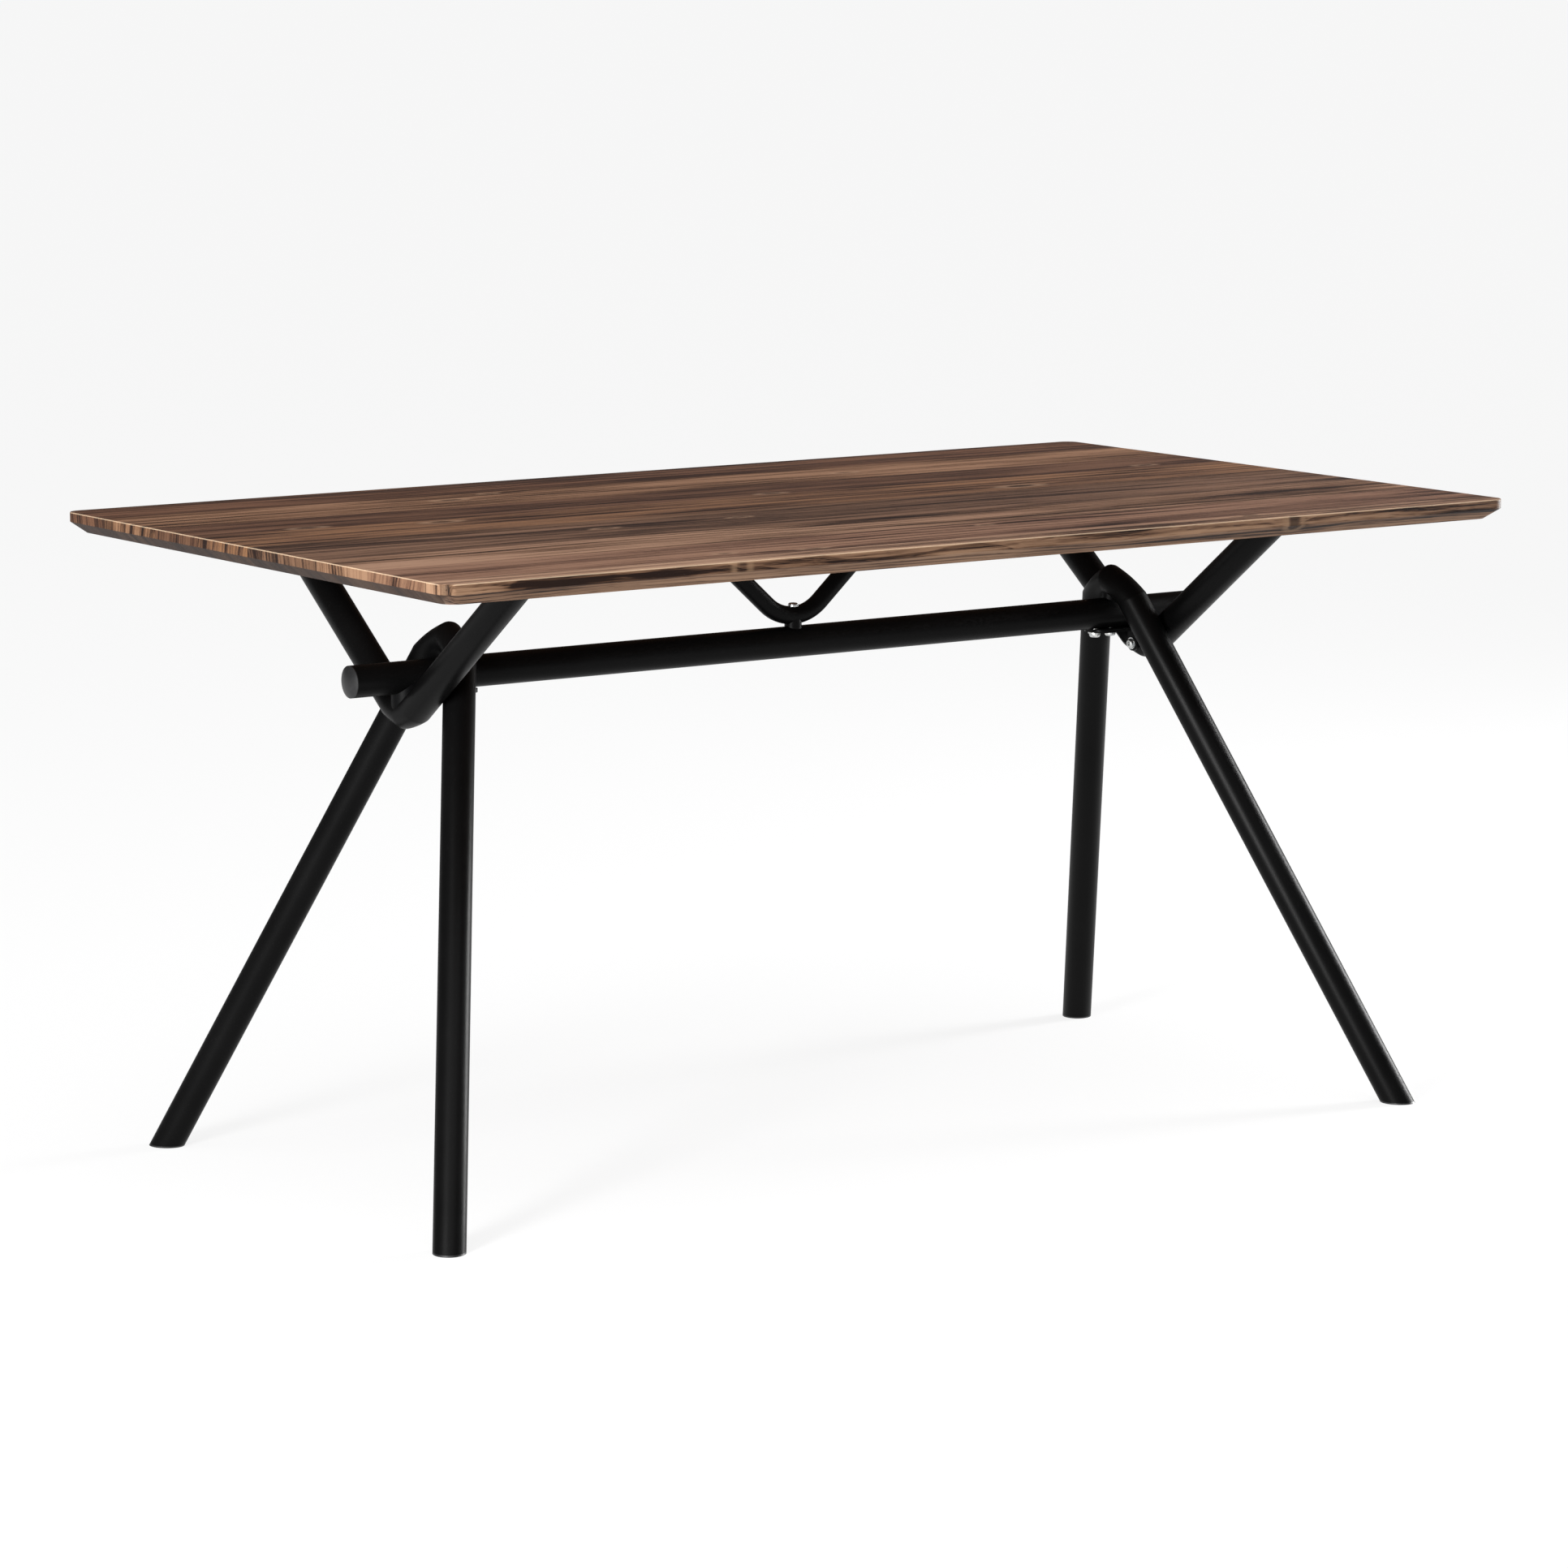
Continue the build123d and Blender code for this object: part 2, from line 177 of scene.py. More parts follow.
class Graph:
    """Node tree of one material, with a principled surface."""

    def __init__(self, name: str) -> None:
        """Start a material.

        Args:
            name: Name of the material.
        """
        self.material = bpy.data.materials.new(name)
        self.material.use_nodes = True
        self.tree = self.material.node_tree
        self.surface = self.tree.nodes["Principled BSDF"]
        place = self.node("ShaderNodeNewGeometry")
        axes = self.node("ShaderNodeSeparateXYZ", inputs={"Vector": self.out(place, "Position")})
        self.x, self.y, self.z = (self.out(axes, axis) for axis in "XYZ")
        facing = self.node("ShaderNodeSeparateXYZ", inputs={"Vector": self.out(place, "Normal")})
        self.facing_x, self.facing_y = abs(self.out(facing, "X")), abs(self.out(facing, "Y"))
        self.facing_down = 0.0 - self.out(facing, "Z")

    def node(self, kind: str, settings: dict[str, object] | None = None,
             inputs: dict[str, object] | None = None) -> bpy.types.Node:
        """Add a node.

        Args:
            kind: Node type.
            settings: Properties set first; "stops" holds a ramp's (position, colour) pairs.
            inputs: Values or wires by the socket's identifier.

        Returns:
            The new node.
        """
        made = self.tree.nodes.new(kind)
        for key, value in (settings or {}).items():
            if key == "stops":
                self.set_stops(made.color_ramp.elements, value)
            else:
                setattr(made, key, value)
        for key, value in (inputs or {}).items():
            self.feed(made, key, value)
        return made

    @staticmethod
    def set_stops(elements: bpy.types.ColorRampElements, stops: Sequence[tuple[float, tuple]]) -> None:
        """Give a ramp its stops.

        Args:
            elements: The ramp's elements, two to begin with.
            stops: Position and colour of each stop, in rising order.
        """
        while len(elements) < len(stops):
            elements.new(0.5)
        for element, (position, colour) in zip(elements, stops):
            element.position = position
            element.color = colour

    def feed(self, node: bpy.types.Node, key: str, value: object) -> None:
        """Set or link one input.

        Args:
            node: Node whose input it is.
            key: The socket's identifier.
            value: A wire or a plain value.
        """
        socket = next(s for s in node.inputs if s.identifier == key)
        if isinstance(value, Wire):
            self.tree.links.new(value.socket, socket)
        else:
            socket.default_value = value

    def out(self, node: bpy.types.Node, key: str) -> Wire:
        """Wire from the output with that identifier."""
        return Wire(self, next(s for s in node.outputs if s.identifier == key))

    def math(self, operation: str, *values: "Wire | float") -> Wire:
        """Math node.

        Args:
            operation: Blender's name of the operation.
            values: Operands, as wires or numbers.

        Returns:
            The result.
        """
        made = self.node("ShaderNodeMath", {"operation": operation})
        for socket, value in zip(made.inputs, values):
            self.feed(made, socket.identifier, value)
        return self.out(made, "Value")

    def vector(self, x: "Wire | float", y: "Wire | float", z: "Wire | float") -> Wire:
        """Vector made of three values."""
        return self.out(self.node("ShaderNodeCombineXYZ", inputs={"X": x, "Y": y, "Z": z}), "Vector")

    def noise(self, where: Wire, detail: float = 2.0, roughness: float = 0.5) -> Wire:
        """Noise around one half."""
        return self.out(self.node("ShaderNodeTexNoise", {"noise_dimensions": "3D"}, {
            "Vector": where, "Scale": 1.0, "Detail": detail, "Roughness": roughness}), "Fac")

    def specks(self, cells: float, detail: float = 2.0, roughness: float = 0.5) -> Wire:
        """Noise with the same number of cells per metre along every axis."""
        return self.noise(self.vector(self.x * cells, self.y * cells, self.z * cells), detail, roughness)

    def step(self, value: Wire, low: float, high: float) -> Wire:
        """Smooth step from zero at low to one at high."""
        if low > high:
            return 1 - self.step(value, high, low)
        return self.out(self.node("ShaderNodeMapRange", {"interpolation_type": "SMOOTHSTEP"}, {
            "Value": value, "From Min": low, "From Max": high}), "Result")

    def mix(self, share: "Wire | float", below: "Wire | tuple", above: "Wire | tuple",
            way: Blend = Blend.MIX) -> Wire:
        """Mix two colours.

        Args:
            share: How much of the upper colour, zero to one.
            below: Lower colour.
            above: Upper colour.
            way: How the upper colour is laid over the lower.

        Returns:
            The mixed colour.
        """
        made = self.node("ShaderNodeMix", {"data_type": "RGBA", "blend_type": way.value}, {
            "Factor_Float": share, "A_Color": below, "B_Color": above})
        return self.out(made, "Result_Color")

    def bump(self, height: Wire, depth: float) -> Wire:
        """Normal bent by a height."""
        return self.out(self.node("ShaderNodeBump", inputs={
            "Height": height, "Distance": depth, "Strength": 1.0}), "Normal")

    def finish(self, colour: "Wire | tuple", roughness: "Wire | float", normal: Wire | None = None,
               **plain: float) -> bpy.types.Material:
        """Connect the surface.

        Args:
            colour: Base colour.
            roughness: Roughness.
            normal: Bent normal, if any.
            plain: Numbers that are the same all over, with underscores for spaces.

        Returns:
            The finished material.
        """
        self.feed(self.surface, "Base Color", colour)
        self.feed(self.surface, "Roughness", roughness)
        if normal is not None:
            self.feed(self.surface, "Normal", normal)
        for key, value in plain.items():
            self.feed(self.surface, key.replace("_", " "), value)
        return self.material


# ------------------------- finishes
@dataclass(frozen=True)
class Knot:
    """A knot in a stave, with the grain flowing round it.

    Attributes:
        x: Place along the table.
        y: Place across the table.
        length: Half length of the disturbed grain.
        width: Half width of the disturbed grain.
        heart: Darkness of the heart, zero to one.
        swell: How far the grain is pushed aside.
    """
    x: float
    y: float
    length: float = 0.030
    width: float = 0.012
    heart: float = 0.75
    swell: float = 0.014


@dataclass(frozen=True)
class StaveWood:
    """Oiled walnut of one stave: rings, streaks, pores and knots as one solid texture.

    Attributes:
        name: Name of the material.
        seed: Shift of every noise, so that no two staves match.
        pale: Lightest wood.
        mean: Middle tone.
        deep: Dark streaks.
        pith: Place of the log's centre, (across, height) from the stave's middle.
        ring: Mean ring width.
        knots: Knots in this stave.
        middle: Place of the stave's middle across the table.
        painted_shade_slope: How much darker the tone gets per metre toward the right.
        end_gain: Brightness of the end grain, part its own stain and part painted shade.
        side_gain: Brightness of the long edges, part their own stain and part painted shade.
    """
    name: str
    seed: float
    pale: tuple[float, float, float, float]
    mean: tuple[float, float, float, float]
    deep: tuple[float, float, float, float]
    pith: tuple[float, float]
    ring: float
    middle: float
    knots: tuple[Knot, ...] = ()
    painted_shade_slope: float = 0.0
    end_gain: float = 0.62
    side_gain: float = 0.58

    HEART = srgb(34, 21, 17)
    # BEVEL is the colour of painted shade on the end bevels that face down.
    BEVEL = srgb(26, 14, 8)
    RIM = srgb(150, 122, 100)
    # Painted highlight along the top edges: its cream colour, width, strength and blur.
    ARRIS_HIGHLIGHT = srgb(205, 180, 152)
    ARRIS_WIDTH = 0.0013
    ARRIS_WEAR = 0.45
    ARRIS_BLUR = 0.0005
    GRAIN_DEPTH = 0.00012
    SHEEN_LEVEL = 0.10
    WANDER_REACH = 0.045
    WAVER_REACH = 0.0045
    HEIGHT_REACH = 0.05
    STREAK_WEIGHT = 3.0
    FIBRE_WEIGHT = 0.9
    PATCH_WEIGHT = 1.2
    LATE_WEIGHT = 0.24
    PORE_WEIGHT = 0.20
    SEED_STEP = 3.1
    FACE_TURN = (0.25, 0.7)

    def material(self) -> bpy.types.Material:
        """Build the material; noise scales are in cells per metre.

        Returns:
            The stave's material.
        """
        g = Graph(self.name)
        x = g.x + self.seed * self.SEED_STEP
        y = g.y - self.middle
        z = g.z - CAD_BOX[1][2]
        radius = self.ring_radius(g, x, y, z)
        end, side = g.step(g.facing_x, *self.FACE_TURN), g.step(g.facing_y, *self.FACE_TURN)
        layer = z * (1 - end)
        streak = g.noise(g.vector(x * 1.7, radius * 95, y * 9 + layer * 110 + self.seed), 5.0, 0.66)
        fibre = g.noise(g.vector(x * 8, radius * 520, y * 300 + layer * 340), 3.0, 0.6)
        patch = g.noise(g.vector(x * 3.4, y * 22, z * 12 + self.seed), 2.0, 0.5)
        saw = g.math("FRACT", radius / self.ring + g.noise(g.vector(x * 2, y * 14, z * 14), 1.0) * 1.6)
        late = g.step(saw, 0.35, 0.95) * (1 - g.step(saw, 0.95, 1.0))
        pore = g.step(g.noise(g.vector(x * 42, y * 900, z * 900), 1.0, 0.4), 0.60, 0.72)
        # The last term of the tone is painted shade: darker toward the right, where the light falls off.
        tone = (0.5 + (streak - 0.5) * self.STREAK_WEIGHT + (fibre - 0.5) * self.FIBRE_WEIGHT
                + (patch - 0.5) * self.PATCH_WEIGHT - (late - 0.35) * self.LATE_WEIGHT
                - pore * self.PORE_WEIGHT - g.x * self.painted_shade_slope)
        colour = g.out(g.node("ShaderNodeValToRGB", {"stops": (
            (0.08, self.HEART), (0.30, self.deep), (0.52, self.mean), (0.86, self.pale))},
            {"Fac": tone}), "Color")
        heart, rim = self.knot_fields(g)
        colour = g.mix(rim * 0.5, colour, self.RIM)
        colour = g.mix(heart, colour, self.HEART)
        # End and side faces are darkened: partly the wood's own stain, partly painted shade.
        for face, gain in ((end, self.end_gain), (side, self.side_gain)):
            stain_and_shade = (gain, gain * 0.97, gain * 0.88, 1.0)
            colour = g.mix(face, colour, g.mix(1.0, colour, stain_and_shade, Blend.MULTIPLY))
        # Painted shade: faces that look down and toward the ends are darkened toward BEVEL.
        under = g.step(g.facing_down, 0.2, 0.5) * g.step(g.facing_x, 0.1, 0.4)
        colour = g.mix(under * 0.85, colour, self.BEVEL)
        # Painted highlight: a cream line along the top edges stands in for light caught by the rounded
        # arris.
        colour = g.mix(self.arris_highlight(g), colour, self.ARRIS_HIGHLIGHT)
        roughness = 0.52 + (fibre - 0.5) * 0.25 + pore * 0.12
        grain = fibre * 0.5 - pore * 0.8 - heart * 0.6 + streak * 0.3
        normal = g.bump(grain, self.GRAIN_DEPTH)
        return g.finish(colour, roughness, normal, Specular_IOR_Level=self.SHEEN_LEVEL)

    def ring_radius(self, g: Graph, x: Wire, y: Wire, z: Wire) -> Wire:
        """Distance from the log's centre, bent by slow noise and pushed aside by the knots.

        Args:
            g: Graph of the stave.
            x: Place along, shifted by the seed.
            y: Place across, from the stave's middle.
            z: Height, from the upper face.

        Returns:
            The bent distance.
        """
        wander = g.noise(g.vector(x * 1.3, y * 5 + self.seed, z * 5)) - 0.5
        waver = g.noise(g.vector(x * 9, y * 26, z * 26 + self.seed)) - 0.5
        sag = g.noise(g.vector(x * 1.1, self.seed, y * 2), 1.0) - 0.5
        across = y - self.pith[0] + wander * self.WANDER_REACH + waver * self.WAVER_REACH
        height = z - self.pith[1] + sag * self.HEIGHT_REACH
        radius = g.math("SQRT", across * across + height * height)
        for knot in self.knots:
            radius = radius + self.bulge(g, knot)
        return radius

    def spread(self, g: Graph, knot: Knot) -> Wire:
        """Squared distance from a knot, in its own half sizes."""
        along = (g.x - knot.x) / knot.length
        across = (g.y - knot.y) / knot.width
        return along * along + across * across

    def bulge(self, g: Graph, knot: Knot) -> Wire:
        """How far one knot pushes the rings aside."""
        return knot.swell / ((1 + self.spread(g, knot)) ** 1.5)

    def knot_fields(self, g: Graph) -> tuple[Wire, Wire]:
        """Masks of all the knots.

        Args:
            g: Graph of the stave.

        Returns:
            The dark hearts and the pale rims round them.
        """
        ragged = g.noise(g.vector(g.x * 150, g.y * 260, self.seed), 3.0, 0.6) - 0.5
        heart: Wire = ragged * 0
        rim: Wire = heart
        for knot in self.knots:
            reach = self.spread(g, knot) + ragged * 0.35
            heart = g.math("MAXIMUM", heart, g.step(reach, 0.30, 0.03) * knot.heart)
            rim = g.math("MAXIMUM", rim, g.step(reach, 0.10, 0.35) * g.step(reach, 1.1, 0.4))
        return heart, rim

    def arris_highlight(self, g: Graph) -> Wire:
        """Mask of the painted highlight along the top edges, where light catches the rounded arris."""
        edge = g.math("MAXIMUM", abs(g.x) - (CAD_BOX[1][0] - self.ARRIS_WIDTH),
                      abs(g.y) - (CAD_BOX[1][1] - self.ARRIS_WIDTH))
        low = g.z - (CAD_BOX[1][2] - self.ARRIS_WIDTH)
        return g.step(g.math("MINIMUM", edge, low), 0.0, self.ARRIS_BLUR) * self.ARRIS_WEAR


@dataclass(frozen=True)
class PowderCoat:
    """Satin black powder coat with a fine orange peel."""
    name: str = "satin_black_powder_coat"
    tone: float = 0.0018
    peel_depth: float = 0.00008

    def material(self) -> bpy.types.Material:
        """Build the material.

        Returns:
            The coating's material.
        """
        g = Graph(self.name)
        peel = g.specks(850, 2.0, 0.55)
        cloud = g.specks(14, 3.0, 0.55)
        # Painted glints: small lighter flecks stand in for the coat's sparkle.
        glint_fleck = g.step(g.specks(520, 1.0), 0.68, 0.74)
        tone = self.tone
        thin, thick = (tone * 0.7, tone * 0.7, tone * 0.72, 1), (tone * 1.4, tone * 1.38, tone * 1.42, 1)
        colour = g.mix(cloud, thin, thick)
        colour = g.mix(glint_fleck * 0.35, colour, grey(tone * 4))
        roughness = 0.38 + (cloud - 0.5) * 0.12 + (peel - 0.5) * 0.1
        return g.finish(colour, roughness, g.bump(peel, self.peel_depth), Specular_IOR_Level=0.055)


@dataclass(frozen=True)
class ZincPlate:
    """Bright zinc plate with faint blotches and turning marks."""
    name: str = "bright_zinc_plate"

    def material(self) -> bpy.types.Material:
        """Build the material.

        Returns:
            The plating's material.
        """
        g = Graph(self.name)
        blotch = g.specks(240, 3.0, 0.6)
        scratch = g.noise(g.vector(g.x * 2600, g.y * 700, g.z * 1400), 2.0, 0.6)
        colour = g.mix(g.step(blotch, 0.35, 0.7), srgb(176, 178, 180), srgb(214, 214, 210))
        roughness = 0.24 + blotch * 0.14 + (scratch - 0.5) * 0.1
        return g.finish(colour, roughness, g.bump(scratch, 0.00002), Metallic=1.0)


@dataclass(frozen=True)
class MouldedPlastic:
    """Black moulded plastic with a spark-eroded grain."""
    name: str = "black_moulded_plastic"
    gain: float = 1.0
    level: float = 0.4

    def material(self) -> bpy.types.Material:
        """Build the material.

        Returns:
            The plastic's material.
        """
        g = Graph(self.name)
        grain = g.specks(1500, 2.0, 0.6)
        scuff = g.specks(60, 4.0, 0.65)
        colour = g.mix(g.step(scuff, 0.45, 0.75), srgb(16, 16, 17, self.gain), srgb(27, 27, 28, self.gain))
        roughness = 0.46 + (scuff - 0.5) * 0.2 + (grain - 0.5) * 0.1
        return g.finish(colour, roughness, g.bump(grain, 0.00004), Specular_IOR_Level=self.level)


@dataclass(frozen=True)
class StudioPaper:
    """Pale seamless paper that glows a little, as lit paper does."""
    name: str = "studio_paper"
    tone: float = 0.12
    glow: float = 0.83

    def material(self) -> bpy.types.Material:
        """Build the material.

        Returns:
            The paper's material.
        """
        g = Graph(self.name)
        fleck = g.noise(g.vector(g.x * 60, g.y * 60, 0.0))
        colour = g.mix(fleck, grey(self.tone * 0.97), grey(self.tone * 1.03))
        g.feed(g.surface, "Emission Color", grey(1.0))
        g.feed(g.surface, "Emission Strength", self.glow)
        return g.finish(colour, 0.9, Specular_IOR_Level=0.0)


# ------------------------- mesh helpers
SMOOTH_ANGLE = math.radians(32)
ROUND_STEPS = 72


def piece_from(name: str, body: bmesh.types.BMesh) -> bpy.types.Object:
    """Turn a bmesh into a linked, smooth-shaded object.

    Args:
        name: Name of the piece.
        body: Mesh to use; it is freed.

    Returns:
        The new object.
    """
    bmesh.ops.recalc_face_normals(body, faces=body.faces)
    mesh = bpy.data.meshes.new(name)
    body.to_mesh(mesh)
    body.free()
    made = bpy.data.objects.new(name, mesh)
    bpy.context.scene.collection.objects.link(made)
    shade(made)
    return made


def shade(piece: bpy.types.Object) -> None:
    """Smooth faces, with edges sharp above the set angle."""
    piece.data.shade_smooth()
    piece.data.set_sharp_from_angle(angle=SMOOTH_ANGLE)


def freeze(piece: bpy.types.Object) -> None:
    """Apply the piece's modifiers to its mesh.

    Args:
        piece: Piece whose modifiers are applied and removed.
    """
    bpy.context.view_layer.update()
    result = bpy.data.meshes.new_from_object(piece.evaluated_get(bpy.context.evaluated_depsgraph_get()))
    piece.modifiers.clear()
    piece.data = result
    shade(piece)


def soften(piece: bpy.types.Object, radius: float, segments: int = 3) -> None:
    """Round the piece's sharp edges.

    Args:
        piece: Piece to change.
        radius: Width of the rounding.
        segments: Steps in the rounding.
    """
    bevel = piece.modifiers.new("soft_edges", "BEVEL")
    bevel.width = radius
    bevel.segments = segments
    bevel.limit_method = "ANGLE"
    bevel.angle_limit = math.radians(40)
    bevel.use_clamp_overlap = True
    freeze(piece)


def drill(piece: bpy.types.Object, rods: Iterable[tuple[Vector, Vector, float]]) -> None:
    """Cut round holes.

    Args:
        piece: Piece to change.
        rods: Start, end and radius of each hole.
    """
    cutters = bmesh.new()
    for start, end, radius in rods:
        axis = end - start
        turn = axis.to_track_quat("Z", "Y").to_matrix().to_4x4()
        bmesh.ops.create_cone(cutters, cap_ends=True, segments=40, radius1=radius, radius2=radius,
                              depth=axis.length, matrix=Matrix.Translation((start + end) / 2) @ turn)
    cutter = piece_from(piece.name + "_cutter", cutters)
    cut = piece.modifiers.new("holes", "BOOLEAN")
    cut.operation = "DIFFERENCE"
    cut.solver = "EXACT"
    cut.object = cutter
    freeze(piece)
    bpy.data.objects.remove(cutter)


def loop_shell(body: bmesh.types.BMesh, rings: Sequence[Sequence[Vector]], closed: bool) -> None:
    """Join rings of points with quads.

    Args:
        body: Mesh to add to.
        rings: Rings with the same number of points; a ring of one point closes to a tip.
        closed: Whether the last ring joins the first.
    """
    made = [[body.verts.new(point) for point in ring] for ring in rings]
    pairs = list(zip(made, made[1:])) + ([(made[-1], made[0])] if closed else [])
    for low, high in pairs:
        count = max(len(low), len(high))
        for i in range(count):
            j = (i + 1) % count
            corners = [low[i % len(low)], low[j % len(low)], high[j % len(high)], high[i % len(high)]]
            body.faces.new(list(dict.fromkeys(corners)))


def turned(body: bmesh.types.BMesh, profile: Sequence[tuple[float, ...]], place: Vector,
           axis: Vector) -> None:
    """Turn a profile round an axis.

    Args:
        body: Mesh to add to.
        profile: Radius and distance along the axis; a third value makes that row hexagonal.
        place: Origin of the profile.
        axis: Direction of the axis.
    """
    turn = axis.to_track_quat("Z", "Y").to_matrix()
    rings = []
    for radius, along, *hexagonal in profile:
        if radius == 0:
            rings.append([place + turn @ Vector((0, 0, along))])
            continue
        ring = []
        for i in range(ROUND_STEPS):
            angle = 2 * math.pi * i / ROUND_STEPS
            reach = radius
            if hexagonal:
                reach *= math.cos(math.pi / 6) / math.cos(angle % (math.pi / 3) - math.pi / 6)
            ring.append(place + turn @ Vector((reach * math.cos(angle), reach * math.sin(angle), along)))
        rings.append(ring)
    loop_shell(body, rings, closed=False)


def rounded_outline(middle: Vector, half_x: float, half_y: float, radius: float,
                    steps: int) -> list[tuple[float, float]]:
    """Rounded rectangle.

    Args:
        middle: Its middle.
        half_x: Half its length.
        half_y: Half its width.
        radius: Corner radius.
        steps: Steps in each corner.

    Returns:
        Points, anticlockwise.
    """
    points = []
    for sx, sy, turn in ((1, 1, 0), (-1, 1, 1), (-1, -1, 2), (1, -1, 3)):
        for i in range(steps + 1):
            angle = math.pi / 2 * (turn + i / steps)
            points.append((middle.x + sx * (half_x - radius) + radius * math.cos(angle),
                           middle.y + sy * (half_y - radius) + radius * math.sin(angle)))
    return points


def prism(body: bmesh.types.BMesh, rings: Sequence[Sequence[Vector]]) -> None:
    """Join rings and close both ends.

    Args:
        body: Empty mesh to build in.
        rings: Rings with the same number of points.
    """
    loop_shell(body, rings, closed=False)
    body.verts.ensure_lookup_table()
    count = len(rings[0])
    body.faces.new(body.verts[:count])
    body.faces.new(body.verts[-count:])


def stand(name: str, data: bpy.types.ID, place: Vector, way: Vector) -> bpy.types.Object:
    """Put a light or a camera in the scene.

    Args:
        name: Its name.
        data: Its data.
        place: Where it stands.
        way: Where it points.

    Returns:
        The new object.
    """
    made = bpy.data.objects.new(name, data)
    made.location = place
    made.rotation_euler = way.to_track_quat("-Z", "Y").to_euler()
    bpy.context.scene.collection.objects.link(made)
    return made


def bent_line(start: Vector, corner: Vector, end: Vector, radius: float) -> list[tuple[Vector, Vector]]:
    """Line with one round bend.

    Args:
        start: First point.
        corner: Where the straight runs would meet.
        end: Last point.
        radius: Bend radius.

    Returns:
        Points with their directions.
    """
    inward, outward = (corner - start).normalized(), (end - corner).normalized()
    turn = inward.angle(outward)
    reach = radius * math.tan(turn / 2)
    normal = inward.cross(outward).normalized()
    centre = corner - inward * reach + normal.cross(inward) * radius
    steps = max(8, round(math.degrees(turn) / 2.5))
    line = [(start, inward)]
    for i in range(steps + 1):
        rotate = Matrix.Rotation(turn * i / steps, 3, normal)
        line.append((centre + rotate @ (corner - inward * reach - centre), rotate @ inward))
    line.append((end, outward))
    return line


@dataclass(frozen=True)
class Tube:
    """A round steel tube along a line.

    Attributes:
        line: Points with their directions.
        radius: Outside radius.
        wall: Wall thickness.
        level: Height at which both ends are cut level, or none for square ends.
        pressed: How far each flank of the bend's outside is pressed flat, zero to one.
    """
    line: Sequence[tuple[Vector, Vector]]
    radius: float
    wall: float
    level: float | None = None
    pressed: float = 0.0

    def build(self, name: str) -> bpy.types.Object:
        """Make the tube.

        Args:
            name: Name of the piece.

        Returns:
            The tube, open at both ends.
        """
        outside = self.skin(self.radius)
        inside = self.skin(self.radius - self.wall)
        body = bmesh.new()
        loop_shell(body, outside + inside[::-1], closed=True)
        return piece_from(name, body)

    def dent(self, number: int) -> float:
        """Depth of the pressed flat at one point of the line.

        Args:
            number: Which point.

        Returns:
            How far the bend's outside lies inside its round shape.
        """
        last = len(self.line) - 2
        if not self.pressed or number in (0, last + 1):
            return 0.0
        turn = self.line[0][1].angle(self.line[-1][1])
        run = (self.line[last][0] - self.line[1][0]).length
        outside = run / (2 * math.sin(turn / 2)) + self.radius
        from_middle = abs((number - 1) / (last - 1) - 0.5) * turn
        chord = outside * math.cos(turn / 4) / math.cos(from_middle - turn / 4)
        return self.pressed * (outside - chord)

    def skin(self, radius: float) -> list[list[Vector]]:
        """Rings of one surface of the tube.

        Args:
            radius: Radius of the surface.

        Returns:
            One ring of points for each point of the line.
        """
        start, _ = self.line[0]
        end, _ = self.line[-1]
        middle, _ = self.line[len(self.line) // 2]
        plane = (middle - start).cross(end - middle)
        if plane.length < 1e-6:
            plane = self.line[0][1].orthogonal()
        plane.normalize()
        rings = []
        for number, (point, way) in enumerate(self.line):
            side = plane.cross(way)
            dent = self.dent(number)
            ring = []
            for i in range(ROUND_STEPS):
                angle = 2 * math.pi * i / ROUND_STEPS
                outward = -math.sin(angle)
                reach = radius * math.sin(angle) + dent * (1 + outward) / 2
                spot = point + radius * math.cos(angle) * plane + reach * side
                if self.level is not None and number in (0, len(self.line) - 1):
                    spot = spot + way * ((self.level - spot.z) / way.z)
                ring.append(spot)
            rings.append(ring)
        return rings


def place_piece(piece: bpy.types.Object, slot: Slot, material: bpy.types.Material, *nodes: str) -> None:
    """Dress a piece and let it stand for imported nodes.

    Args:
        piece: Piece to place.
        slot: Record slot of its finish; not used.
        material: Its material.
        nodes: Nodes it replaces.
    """
    piece.data.materials.clear()
    piece.data.materials.append(material)
    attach(piece, BODY)
    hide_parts(*nodes)
    log.info("%s stands for %s", piece.name, ", ".join(nodes))


def dress_node(name: str, material: bpy.types.Material) -> None:
    """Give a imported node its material.

    Args:
        name: Name of the node.
        material: Material for every slot.
    """
    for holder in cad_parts[name].material_slots:
        holder.material = material
    log.info("%s keeps its packed shape", name)


